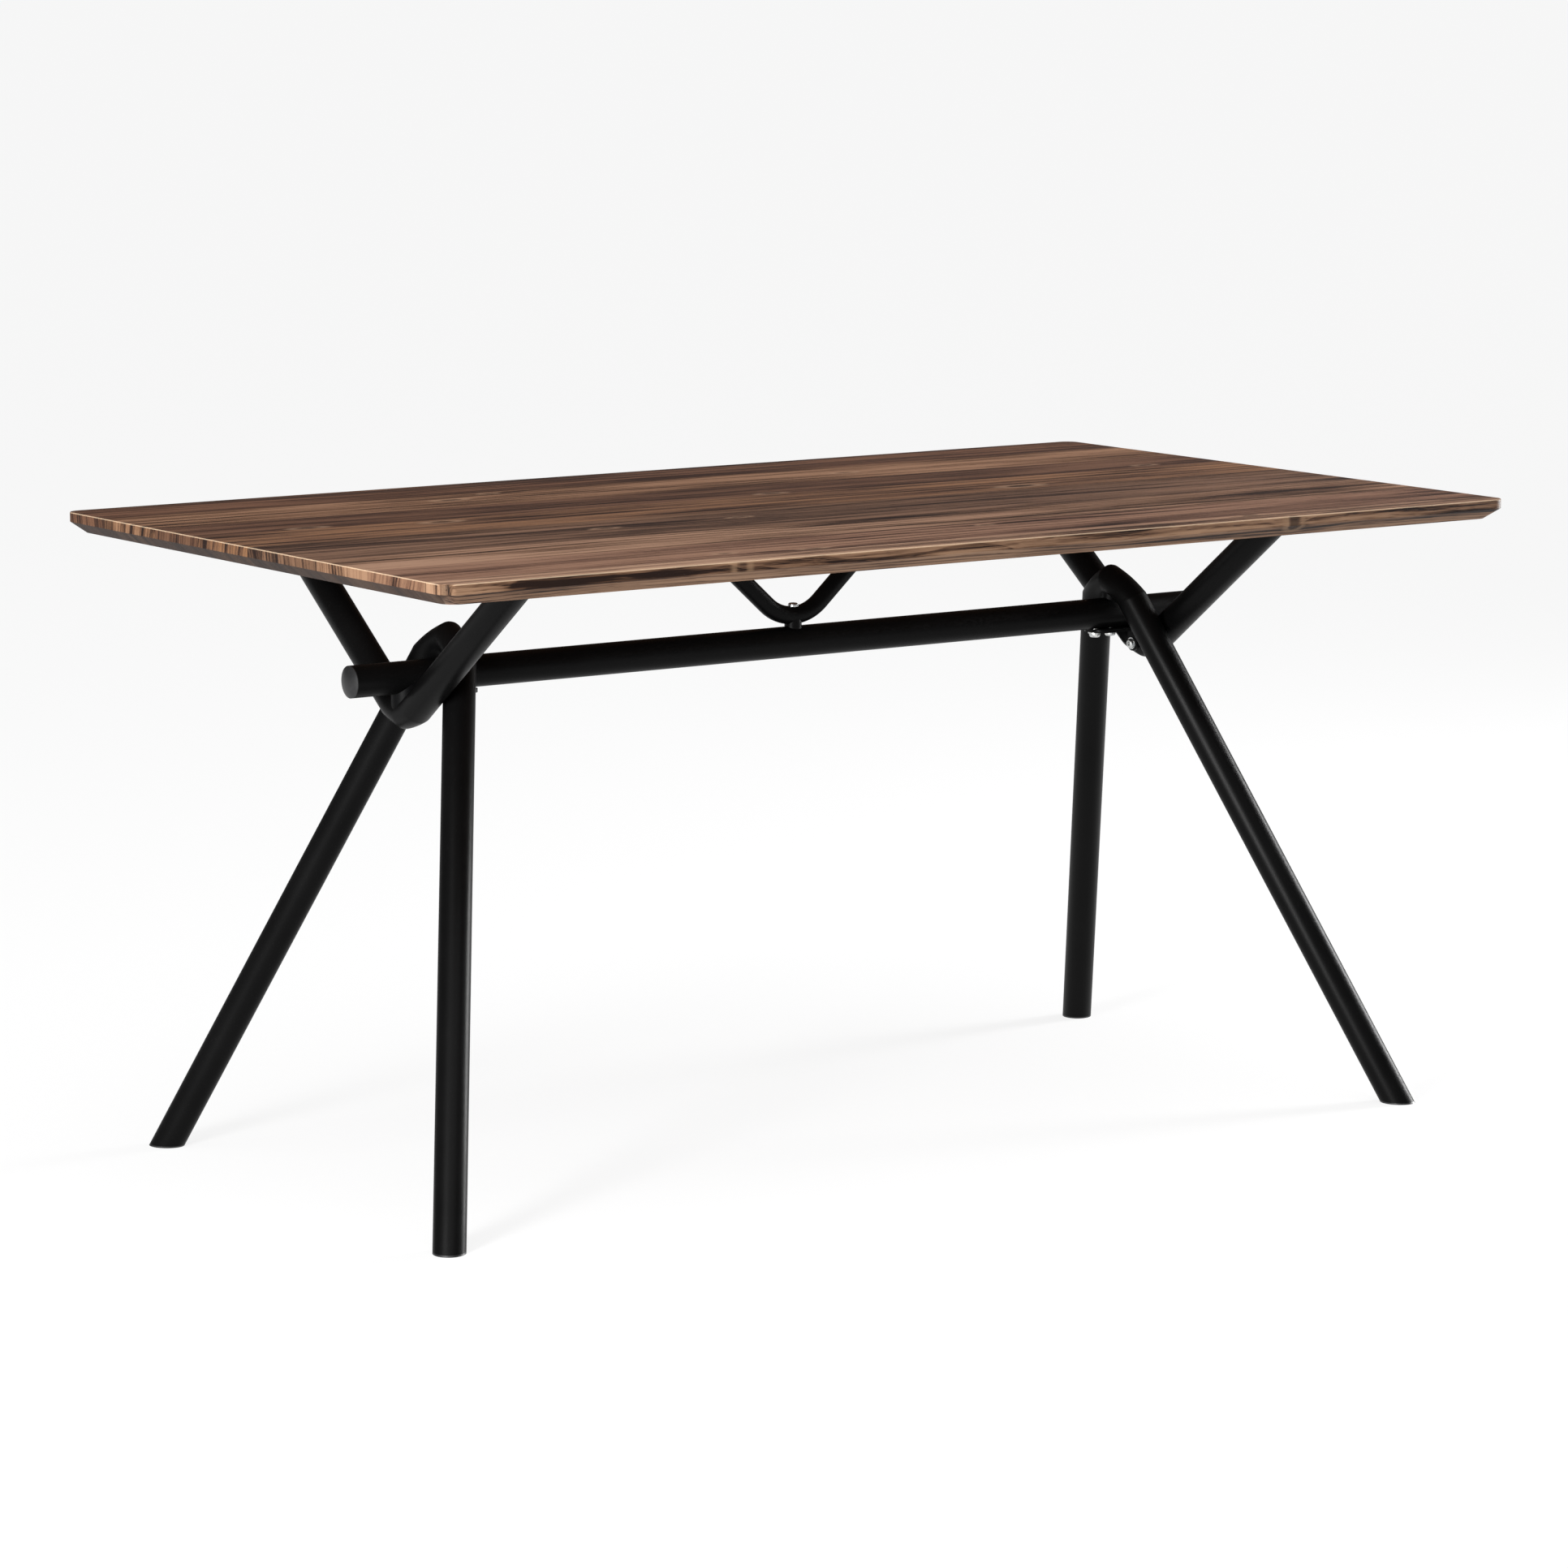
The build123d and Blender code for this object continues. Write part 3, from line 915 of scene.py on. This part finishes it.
# ------------------------- table top
@dataclass(frozen=True)
class TableTop:
    """Edge-glued top of nine full-length staves with a square edge over an under-bevel."""
    corner_radius: float = 0.018
    lower_corner_radius: float = 0.020
    arris_highlight: float = 0.0012
    edge_band: float = 0.0115
    bevel_inset: float = 0.014
    thickness: float = 0.024
    insert_radius: float = 0.005
    insert_depth: float = 0.016
    corner_steps: int = 14
    arris_steps: int = 5

    def whole(self) -> bmesh.types.BMesh:
        """The uncut top.

        Returns:
            A closed mesh.
        """
        top = CAD_BOX[1][2]
        levels = []
        for i in range(self.arris_steps + 1):
            angle = math.pi / 2 * i / self.arris_steps
            inset = self.arris_highlight * (1 - math.sin(angle))
            levels.append((inset, self.corner_radius - inset, top - self.arris_highlight * (1 - math.cos(angle))))
        levels.append((0.0, self.corner_radius, top - self.edge_band))
        levels.append((self.bevel_inset, self.lower_corner_radius, top - self.thickness))
        rings = []
        for inset, radius, z in levels:
            outline = rounded_outline(Vector((0, 0)), CAD_BOX[1][0] - inset, CAD_BOX[1][1] - inset, radius,
                                      self.corner_steps)
            rings.append([Vector((x, y, z)) for x, y in outline])
        body = bmesh.new()
        prism(body, rings)
        bmesh.ops.recalc_face_normals(body, faces=body.faces)
        return body

    def stave(self, name: str, front: float, back: float) -> bpy.types.Object:
        """Cut one stave out of the top.

        Args:
            name: Name of the piece.
            front: The stave's edge nearer the front.
            back: Its edge nearer the back.

        Returns:
            The stave.
        """
        body = self.whole()
        for edge, way in ((front, -1), (back, 1)):
            if abs(edge) > CAD_BOX[1][1] - 1e-4:
                continue
            everything = body.verts[:] + body.edges[:] + body.faces[:]
            bmesh.ops.bisect_plane(body, geom=everything, dist=1e-6, plane_co=(0, edge, 0),
                                   plane_no=(0, way, 0), clear_outer=True)
            rim = [e for e in body.edges if e.is_boundary]
            bmesh.ops.contextual_create(body, geom=rim)
        return piece_from(name, body)

    def build(self, woods: Sequence[StaveWood]) -> None:
        """Make and dress the staves.

        Args:
            woods: Wood of each stave, from the back edge.
        """
        low_z = CAD_BOX[1][2] - self.thickness
        holes = []
        for x, y in insert_places():
            holes.append((Vector((x, y, low_z - DRILL_MARGIN)), Vector((x, y, low_z + self.insert_depth)),
                          self.insert_radius))
        for number, wood in enumerate(woods, start=1):
            node = f"top_stave_{number}"
            low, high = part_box(node)
            piece = self.stave(f"oiled_stave_{number}", low.y, high.y)
            mine = [hole for hole in holes
                    if low.y - self.insert_radius < hole[0].y < high.y + self.insert_radius]
            if mine:
                drill(piece, mine)
            place_piece(piece, Slot.WOOD, wood.material(), node)


@dataclass(frozen=True)
class BoltSize:
    """Head radius, head height and shank radius of a button-head bolt."""
    head: float
    rise: float
    shank: float


M8 = BoltSize(0.007, 0.005, 0.00395)
LOW_M8 = BoltSize(0.006, 0.0026, 0.00395)
M6 = BoltSize(0.006, 0.004, 0.00295)
WASHER = 0.0016
DRILL_MARGIN = 0.002
SUPPORT_PLATE_SCREWS = (0.023, 0.054)
BRACE_PLATE_SCREWS = (0.034, 0.0)


def bolt_x(node: str) -> float:
    """Distance of a pair of upright M8 bolts from the table's middle."""
    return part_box(node)[1].x - M8.head


def plate_nodes() -> dict[str, tuple[float, float]]:
    """Mounting plate nodes with the offsets of their screws."""
    plates = {f"support_plate_{end.word}_{side.word}": SUPPORT_PLATE_SCREWS for end in End for side in Side}
    plates.update({f"brace_plate_{end.word}": BRACE_PLATE_SCREWS for end in End})
    return plates


def screw_offsets(offset: tuple[float, float]) -> list[tuple[float, float]]:
    """Offsets of a plate's screws from its middle."""
    rows = (-1, 1) if offset[1] else (0,)
    return [(sx * offset[0], sy * offset[1]) for sx in (-1, 1) for sy in rows]


def insert_places() -> list[tuple[float, float]]:
    """Places of the threaded inserts, above the plates' holes.

    Returns:
        X and Y of each.
    """
    places = []
    for node, offset in plate_nodes().items():
        low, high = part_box(node)
        middle = (low + high) / 2
        places += [(middle.x + dx, middle.y + dy) for dx, dy in screw_offsets(offset)]
    return places


# ------------------------- steel frame
@dataclass(frozen=True)
class TubeFrame:
    """Bent tubes: two leaning leg frames, two V supports, the stretcher and the brace."""
    radius: float = 0.019
    wall: float = 0.002
    leg_foot: tuple[float, float] = (0.6905, 0.3285)
    leg_apex: tuple[float, float] = (0.4683, 0.691)
    support_apex_z: float = 0.5447
    support_angle: float = math.radians(53.3)
    brace_radius: float = 0.011
    brace_wall: float = 0.0018
    brace_angle: float = math.radians(48)
    brace_bend: float = 0.058
    nut_radius: float = 0.0055
    small_nut_radius: float = 0.0045
    bolt_clearance: float = 0.0041
    overrun: float = 0.03
    pressed: float = 0.7

    def build(self, coat: bpy.types.Material) -> None:
        """Make and dress every tube.

        Args:
            coat: Powder coat.
        """
        for end in End:
            self.leg_frame(end, coat)
            self.support(end, coat)
        self.stretcher(coat)
        self.brace(coat)

    def leg_frame(self, end: End, coat: bpy.types.Material) -> None:
        """One leaning inverted V.

        Args:
            end: Which end of the table.
            coat: Powder coat.
        """
        node = f"leg_frame_{end.word}"
        low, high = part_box(node)
        apex_x, apex_z = self.leg_apex
        foot_x, foot_y = self.leg_foot
        apex = Vector((end.value * apex_x, 0, apex_z))
        slope = Vector((end.value * (foot_x - apex_x), foot_y, -apex_z)) / apex_z
        reach = apex_z + self.overrun
        front = apex + Vector((slope.x, -slope.y, slope.z)) * reach
        back = apex + slope * reach
        opening = (front - apex).angle(back - apex) / 2
        crown = high.z - self.radius
        drop = (apex_z - crown) * math.hypot(1.0, slope.x)
        bend = drop / (1 / math.sin(opening) - 1)
        tube = Tube(bent_line(front, apex, back, bend), self.radius, self.wall, low.z, self.pressed)
        piece = tube.build(f"{end.word}_leg_tube")
        crown_x = end.value * (apex_x + abs(slope.x) * (apex_z - crown))
        start, end_of_hole = Vector((crown_x, 0, crown - self.overrun)), Vector((crown_x, 0, crown))
        drill(piece, [(start, end_of_hole, self.nut_radius)])
        place_piece(piece, Slot.COAT, coat, node)

    def support(self, end: End, coat: bpy.types.Material) -> None:
        """One V support under the top.

        Args:
            end: Which end of the table.
            coat: Powder coat.
        """
        node = f"support_{end.word}"
        low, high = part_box(node)
        x = (low.x + high.x) / 2
        crown = low.z + self.radius
        rise = high.z + self.overrun - self.support_apex_z
        apex = Vector((x, 0, self.support_apex_z))
        arm = Vector((0, rise * math.tan(self.support_angle), rise))
        bend = (crown - self.support_apex_z) / (1 / math.sin(self.support_angle) - 1)
        line = bent_line(apex + Vector((0, -arm.y, arm.z)), apex, apex + arm, bend)
        tube = Tube(line, self.radius, self.wall, high.z, self.pressed)
        piece = tube.build(f"{end.word}_support_tube")
        inner = end.value * (abs(x) - self.radius - DRILL_MARGIN)
        drill(piece, [(Vector((inner, 0, crown)), Vector((x, 0, crown)), self.small_nut_radius)])
        place_piece(piece, Slot.COAT, coat, node)

    def stretcher(self, coat: bpy.types.Material) -> None:
        """Long straight tube between the leg frames.

        Args:
            coat: Powder coat.
        """
        low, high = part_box("stretcher")
        z = (low.z + high.z) / 2
        start, end = Vector((low.x, 0, z)), Vector((high.x, 0, z))
        way = Vector((1, 0, 0))
        piece = Tube([(start, way), (end, way)], self.radius, self.wall).build("stretcher_tube")
        below, above = low.z - DRILL_MARGIN, high.z + DRILL_MARGIN
        holes = [(Vector((0, 0, z)), Vector((0, 0, above)), self.nut_radius)]
        for side in (-1, 1):
            leg_x, bracket_x = side * bolt_x("leg_bolts"), side * bolt_x("bracket_bolts")
            holes.append((Vector((leg_x, 0, below)), Vector((leg_x, 0, above)), self.bolt_clearance))
            holes.append((Vector((bracket_x, 0, below)), Vector((bracket_x, 0, z)), self.nut_radius))
        drill(piece, holes)
        place_piece(piece, Slot.COAT, coat, "stretcher")

    def brace(self, coat: bpy.types.Material) -> None:
        """Lighter V brace over the stretcher's middle.

        Args:
            coat: Powder coat.
        """
        low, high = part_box("brace")
        crown = low.z + self.brace_radius
        apex = Vector((0, 0, crown - self.brace_bend * (1 / math.sin(self.brace_angle) - 1)))
        rise = high.z + self.overrun - apex.z
        arm = Vector((rise * math.tan(self.brace_angle), 0, rise))
        line = bent_line(apex + Vector((-arm.x, 0, arm.z)), apex, apex + arm, self.brace_bend)
        piece = Tube(line, self.brace_radius, self.brace_wall, high.z).build("brace_tube")
        below, above = Vector((0, 0, low.z - DRILL_MARGIN)), Vector((0, 0, crown + 2 * self.brace_radius))
        drill(piece, [(below, above, self.bolt_clearance)])
        place_piece(piece, Slot.COAT, coat, "brace")


@dataclass(frozen=True)
class Brackets:
    """Angle brackets under the stretcher and the flat mounting plates under the top."""
    thickness: float = 0.004
    half_width: float = 0.020
    tongue_corner: float = 0.015
    lug_half_width: float = 0.009
    lug_corner: float = 0.0089
    bend: float = 0.004
    edge: float = 0.0006
    plate_corner: float = 0.008
    bolt_hole: float = 0.0041
    screw_hole: float = 0.0033
    corner_steps: int = 10

    def build(self, coat: bpy.types.Material) -> None:
        """Make and dress the brackets and plates.

        Args:
            coat: Powder coat.
        """
        for end in End:
            self.bracket(end, coat)
        for node, offset in plate_nodes().items():
            self.plate(node, offset, coat)

    def stations(self, run: float, corner: float, half_width: float) -> list[tuple[float, float]]:
        """Half widths along a rounded end.

        Args:
            run: Length of the flat.
            corner: Radius of its corners.
            half_width: Half width beyond them.

        Returns:
            Distance from the end and half width there.
        """
        rows = []
        for i in range(self.corner_steps + 1):
            angle = math.pi / 2 * i / self.corner_steps
            rows.append((corner * (1 - math.cos(angle)), half_width - corner * (1 - math.sin(angle))))
        rows.append((run, half_width))
        return rows

    def bracket(self, end: End, coat: bpy.types.Material) -> None:
        """One angle: tongue under the stretcher, narrower lug down the support.

        Args:
            end: Which end of the table.
            coat: Powder coat.
        """
        node = f"bracket_{end.word}"
        low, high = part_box(node)
        inboard, outboard = sorted((abs(low.x), abs(high.x)))
        rows = []
        tongue = outboard - inboard - self.bend
        for along, half in self.stations(tongue, self.tongue_corner, self.half_width):
            rows.append((inboard + along, high.z, 0.0, half))
        for i in range(self.corner_steps):
            angle = math.pi / 2 * i / self.corner_steps
            x, z = outboard - self.bend * (1 - math.sin(angle)), high.z - self.bend * (1 - math.cos(angle))
            rows.append((x, z, angle, self.lug_half_width))
        for along, half in reversed(self.stations(high.z - low.z - self.bend, self.lug_corner,
                                                  self.lug_half_width)):
            rows.append((outboard, low.z + along, math.pi / 2, half))
        rings = []
        for x, z, angle, half in rows:
            in_x, in_z = x - self.thickness * math.sin(angle), z - self.thickness * math.cos(angle)
            corners = ((x, -half, z), (x, half, z), (in_x, half, in_z), (in_x, -half, in_z))
            rings.append([Vector((end.value * corner[0], *corner[1:])) for corner in corners])
        body = bmesh.new()
        prism(body, rings)
        bmesh.ops.remove_doubles(body, verts=body.verts, dist=1e-6)
        piece = piece_from(f"{end.word}_bracket_angle", body)
        reach = 0.01
        holes = []
        for bolts in ("leg_bolts", "bracket_bolts"):
            x = end.value * bolt_x(bolts)
            holes.append((Vector((x, 0, high.z - reach)), Vector((x, 0, high.z + reach)), self.bolt_hole))
        bolt_low, bolt_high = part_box("support_bolts")
        z = (bolt_low.z + bolt_high.z) / 2
        lug_x = end.value * outboard
        holes.append((Vector((lug_x - reach, 0, z)), Vector((lug_x + reach, 0, z)), self.screw_hole))
        drill(piece, holes)
        soften(piece, self.edge)
        place_piece(piece, Slot.COAT, coat, node)

    def plate(self, node: str, offset: tuple[float, float], coat: bpy.types.Material) -> None:
        """One flat plate with its screw holes.

        Args:
            node: Node it stands for.
            offset: Offsets of its screws.
            coat: Powder coat.
        """
        low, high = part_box(node)
        middle = (low + high) / 2
        half = (high - low) / 2
        outline = rounded_outline(middle, half.x, half.y, self.plate_corner, self.corner_steps)
        body = bmesh.new()
        prism(body, [[Vector((x, y, z)) for x, y in outline] for z in (low.z, high.z)])
        piece = piece_from(node.replace("_plate", "_mounting_plate"), body)
        holes = []
        for dx, dy in screw_offsets(offset):
            x, y = middle.x + dx, middle.y + dy
            holes.append((Vector((x, y, low.z - DRILL_MARGIN)), Vector((x, y, high.z + DRILL_MARGIN)),
                          self.screw_hole))
        drill(piece, holes)
        soften(piece, self.edge)
        place_piece(piece, Slot.COAT, coat, node)


# ------------------------- plastic parts
@dataclass(frozen=True)
class Mouldings:
    """Domed end caps of the stretcher; plugs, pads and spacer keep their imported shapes."""
    lip: float = 0.001
    dome: float = 0.005
    dome_steps: int = 12
    spigot: float = 0.01695

    def build(self, plastic: bpy.types.Material, rubber: bpy.types.Material,
              coat: bpy.types.Material) -> None:
        """Make and dress the mouldings.

        Args:
            plastic: Moulded plastic of the caps and plugs.
            rubber: Duller, darker plastic of the saddle pads.
            coat: Powder coat, for the brace's spacer.
        """
        for end in End:
            self.end_cap(end, plastic)
            for side in Side:
                dress_node(f"foot_plug_{side.word}_{end.word}", plastic)
            dress_node(f"leg_pad_{end.word}", rubber)
            dress_node(f"support_pad_{end.word}", rubber)
        dress_node("brace_spacer", coat)

    def end_cap(self, end: End, plastic: bpy.types.Material) -> None:
        """Domed cap in one end of the stretcher.

        Args:
            end: Which end of the table.
            plastic: Moulded plastic.
        """
        node = f"end_cap_{end.word}"
        low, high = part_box(node)
        radius = (high.z - low.z) / 2
        tip = max(abs(low.x), abs(high.x))
        root = min(abs(low.x), abs(high.x))
        rim = tip - self.dome
        seat = rim - self.lip
        profile = [(0.0, root), (self.spigot, root), (self.spigot, seat), (radius, seat), (radius, rim)]
        ball = (radius ** 2 + self.dome ** 2) / (2 * self.dome)
        opening = math.asin(radius / ball)
        for i in range(1, self.dome_steps):
            angle = opening * (1 - i / self.dome_steps)
            profile.append((ball * math.sin(angle), tip - ball * (1 - math.cos(angle))))
        profile.append((0.0, tip))
        body = bmesh.new()
        turned(body, profile, Vector((0, 0, (low.z + high.z) / 2)), Vector((end.value, 0, 0)))
        place_piece(piece_from(f"{end.word}_stretcher_cap", body), Slot.PLASTIC, plastic, node)


# ------------------------- fasteners
@dataclass(frozen=True)
class Fasteners:
    """Button-head bolts with hex sockets, their washers, and the hidden nuts and inserts."""
    mouth: float = 0.62
    socket: float = 0.5
    crown_steps: int = 8

    def build(self, zinc: bpy.types.Material) -> None:
        """Make and dress the fasteners.

        Args:
            zinc: Zinc plate.
        """
        up, down = Vector((0, 0, 1)), Vector((0, 0, -1))
        for node in ("bracket_bolts", "leg_bolts"):
            low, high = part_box(node)
            seat = low.z + M8.rise
            places = [(Vector((end.value * bolt_x(node), 0, seat)), up) for end in End]
            self.bolts(node, places, M8, high.z - seat, zinc)
        low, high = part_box("support_bolts")
        head_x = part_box("bracket_right")[1].x - Brackets.thickness - WASHER
        middle_z = (low.z + high.z) / 2
        places = [(Vector((end.value * head_x, 0, middle_z)), Vector((end.value, 0, 0))) for end in End]
        self.bolts("support_bolts", places, M6, high.x - head_x, zinc)
        low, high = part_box("brace_bolt")
        seat = high.z - LOW_M8.rise
        self.bolts("brace_bolt", [(Vector((0, 0, seat)), down)], LOW_M8, seat - low.z, zinc)
        low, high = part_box("plate_screws")
        seat = low.z + M6.rise
        places = [(Vector((x, y, seat)), up) for x, y in insert_places()]
        self.bolts("plate_screws", places, M6, high.z - seat, zinc)
        for node in ("bracket_washers", "leg_washers", "support_washers", "brace_washer",
                     "stretcher_rivet_nuts", "leg_rivet_nuts", "support_rivet_nuts", "threaded_inserts"):
            dress_node(node, zinc)

    def bolts(self, node: str, places: Sequence[tuple[Vector, Vector]], size: BoltSize, length: float,
              zinc: bpy.types.Material) -> None:
        """One group of equal bolts.

        Args:
            node: Node they stand for.
            places: Seat of each head and direction of its shank.
            size: Size of the bolts.
            length: Shank length.
            zinc: Zinc plate.
        """
        head, rise, shank = size.head, size.rise, size.shank
        mouth, socket = head * self.mouth, head * self.socket
        profile: list[tuple[float, ...]] = [
            (0.0, length), (shank * 0.8, length), (shank, length - shank * 0.25), (shank, 0.0),
            (head * 0.96, 0.0), (head, -rise * 0.08), (head, -rise * 0.22)]
        for i in range(1, self.crown_steps + 1):
            angle = math.pi / 2 * i / self.crown_steps
            radius = mouth + (head - mouth) * math.cos(angle)
            profile.append((radius, -rise * (0.22 + 0.78 * math.sin(angle))))
        profile += [(socket * 1.08, -rise, 1), (socket, -rise * 0.96, 1), (socket, -rise * 0.42, 1),
                    (socket * 0.3, -rise * 0.36), (0.0, -rise * 0.34)]
        body = bmesh.new()
        for place, way in places:
            turned(body, profile, place, way)
        place_piece(piece_from(f"button_{node}", body), Slot.ZINC, zinc, node)


# ------------------------- studio
@dataclass(frozen=True)
class Softbox:
    """One rectangular light.

    Attributes:
        name: Name of the light.
        place: Where it stands.
        size: Width and height.
        power: Watts.
        aim: Where it points.
    """
    name: str
    place: tuple[float, float, float]
    size: tuple[float, float]
    power: float
    aim: tuple[float, float, float] = (0.0, 0.0, 0.45)

    def build(self) -> None:
        """Hang the light."""
        data = bpy.data.lights.new(self.name, "AREA")
        data.shape = "RECTANGLE"
        data.size, data.size_y = self.size
        data.energy = self.power
        stand(self.name, data, Vector(self.place), Vector(self.aim) - Vector(self.place))


@dataclass(frozen=True)
class Studio:
    """Floor, lights, surroundings and camera."""
    azimuth: float = math.radians(34.546)
    elevation: float = math.radians(9.12)
    distance: float = 6.8028
    aim: tuple[float, float, float] = (-0.0055, 0.0113, 0.4202)
    lens: float = 128.4
    floor_reach: float = 160.0
    surroundings: float = 0.12
    overhead: float = 2.2
    overhead_spread: float = math.radians(70)
    overhead_way: tuple[float, float, float] = (0.15, 0.3, -1.0)
    floor_gap: float = 0.0002

    def build(self, paper: bpy.types.Material) -> None:
        """Set up the studio.

        Args:
            paper: Material of the floor.
        """
        bpy.context.scene.view_settings.view_transform = "Standard"
        self.floor(paper)
        self.world()
        self.sun()
        for box in SOFTBOXES:
            box.build()
        self.camera()

    def floor(self, paper: bpy.types.Material) -> None:
        """Wide round floor under the table.

        Args:
            paper: Its material.
        """
        body = bmesh.new()
        bmesh.ops.create_circle(body, cap_ends=True, segments=96, radius=self.floor_reach)
        floor = piece_from("studio_floor", body)
        floor.location.z = CAD_BOX[0][2] - self.floor_gap
        floor.data.materials.append(paper)

    def world(self) -> None:
        """Even grey surroundings."""
        world = bpy.data.worlds.new("studio")
        world.use_nodes = True
        world.node_tree.nodes["Background"].inputs["Color"].default_value = grey(self.surroundings)
        bpy.context.scene.world = world

    def sun(self) -> None:
        """Broad overhead light."""
        data = bpy.data.lights.new("overhead", "SUN")
        data.energy = self.overhead
        data.angle = self.overhead_spread
        stand("overhead", data, Vector(), Vector(self.overhead_way))

    def camera(self) -> None:
        """Camera from the front left, a little above the top."""
        way = Vector((math.sin(self.azimuth) * math.cos(self.elevation),
                      math.cos(self.azimuth) * math.cos(self.elevation), -math.sin(self.elevation)))
        data = bpy.data.cameras.new("camera")
        data.lens = self.lens
        data.sensor_width = 36.0
        data.clip_end = 2 * self.floor_reach
        bpy.context.scene.camera = stand("camera", data, Vector(self.aim) - way * self.distance, way)


SOFTBOXES = (
    Softbox("left_softbox", (-4.4, -2.2, 1.3), (0.9, 2.2), 480.0),
    Softbox("right_rim_softbox", (3.8, -0.4, 1.1), (0.7, 2.2), 260.0),
)


# ------------------------- woods of the top
# Painted shade on the front staves: their tone darkens toward the right.
FRONT_PAINTED_SHADE_SLOPE = 0.20
FRONT_STAVES = (7, 8, 9)
SEED_PER_STAVE = 2.7


def make_woods() -> list[StaveWood]:
    """Wood of each stave, from the back edge to the front.

    Returns:
        Nine woods.
    """
    tones = (
        (srgb(110, 78, 61), srgb(84, 58, 44), srgb(54, 35, 28), (0.31, -0.06), 0.0062),
        (srgb(142, 108, 85), srgb(114, 83, 63), srgb(82, 57, 42), (-0.27, -0.05), 0.0075),
        (srgb(104, 75, 59), srgb(85, 59, 45), srgb(61, 41, 33), (0.24, 0.03), 0.0058),
        (srgb(131, 95, 69), srgb(104, 75, 57), srgb(74, 51, 39), (-0.30, -0.05), 0.0066),
        (srgb(110, 82, 64), srgb(87, 64, 50), srgb(52, 35, 28), (0.22, -0.08), 0.0048),
        (srgb(116, 88, 71), srgb(91, 67, 53), srgb(59, 42, 34), (0.26, -0.04), 0.0070),
        (srgb(149, 117, 96), srgb(123, 93, 74), srgb(91, 66, 51), (0.33, -0.03), 0.0060),
        (srgb(136, 104, 85), srgb(110, 80, 65), srgb(74, 51, 41), (-0.25, -0.05), 0.0072),
        (srgb(161, 129, 107), srgb(135, 105, 86), srgb(99, 73, 58), (0.24, -0.03), 0.0055),
    )
    knots: dict[int, tuple[Knot, ...]] = {
        2: (Knot(-0.312, 0.281, 0.034, 0.013), Knot(-0.236, 0.317, 0.020, 0.008, 0.6),
            Knot(0.267, 0.272, 0.030, 0.010, 0.6)),
        3: (Knot(-0.604, 0.118, 0.034, 0.012), Knot(0.051, 0.122, 0.030, 0.011, 0.7),
            Knot(0.640, 0.130, 0.026, 0.010)),
        4: (Knot(-0.443, 0.084, 0.036, 0.014), Knot(0.356, 0.018, 0.046, 0.017, 0.9, 0.02)),
        6: (Knot(-0.321, -0.080, 0.026, 0.009, 0.6), Knot(-0.126, -0.072, 0.024, 0.008, 0.6)),
        8: (Knot(-0.346, -0.366, 0.022, 0.008, 0.7), Knot(-0.236, -0.383, 0.026, 0.008, 0.7),
            Knot(0.064, -0.302, 0.018, 0.007, 0.8)),
        9: (Knot(0.381, -0.400, 0.026, 0.008, 0.8), Knot(0.420, -0.437, 0.020, 0.011, 0.75, 0.002),
            Knot(-0.370, -0.438, 0.018, 0.004, 0.5, 0.001)),
    }
    woods = []
    for number, (pale, mean, deep, pith, ring) in enumerate(tones, start=1):
        low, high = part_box(f"top_stave_{number}")
        painted_shade_slope = FRONT_PAINTED_SHADE_SLOPE if number in FRONT_STAVES else 0.0
        woods.append(StaveWood(f"walnut_stave_{number}", SEED_PER_STAVE * number, pale, mean, deep, pith,
                               ring, (low.y + high.y) / 2, knots.get(number, ()), painted_shade_slope))
    return woods


def main() -> None:
    """Build the table and the studio."""
    logging.basicConfig(level=logging.INFO, format="%(message)s")
    Studio().build(StudioPaper().material())
    coat = PowderCoat().material()
    zinc = ZincPlate().material()
    plastic = MouldedPlastic().material()
    rubber = MouldedPlastic("dull_pad_plastic", 0.3, 0.05).material()
    TableTop().build(make_woods())
    TubeFrame().build(coat)
    Brackets().build(coat)
    Mouldings().build(plastic, rubber, coat)
    Fasteners().build(zinc)


if __name__ == "__main__":
    main()
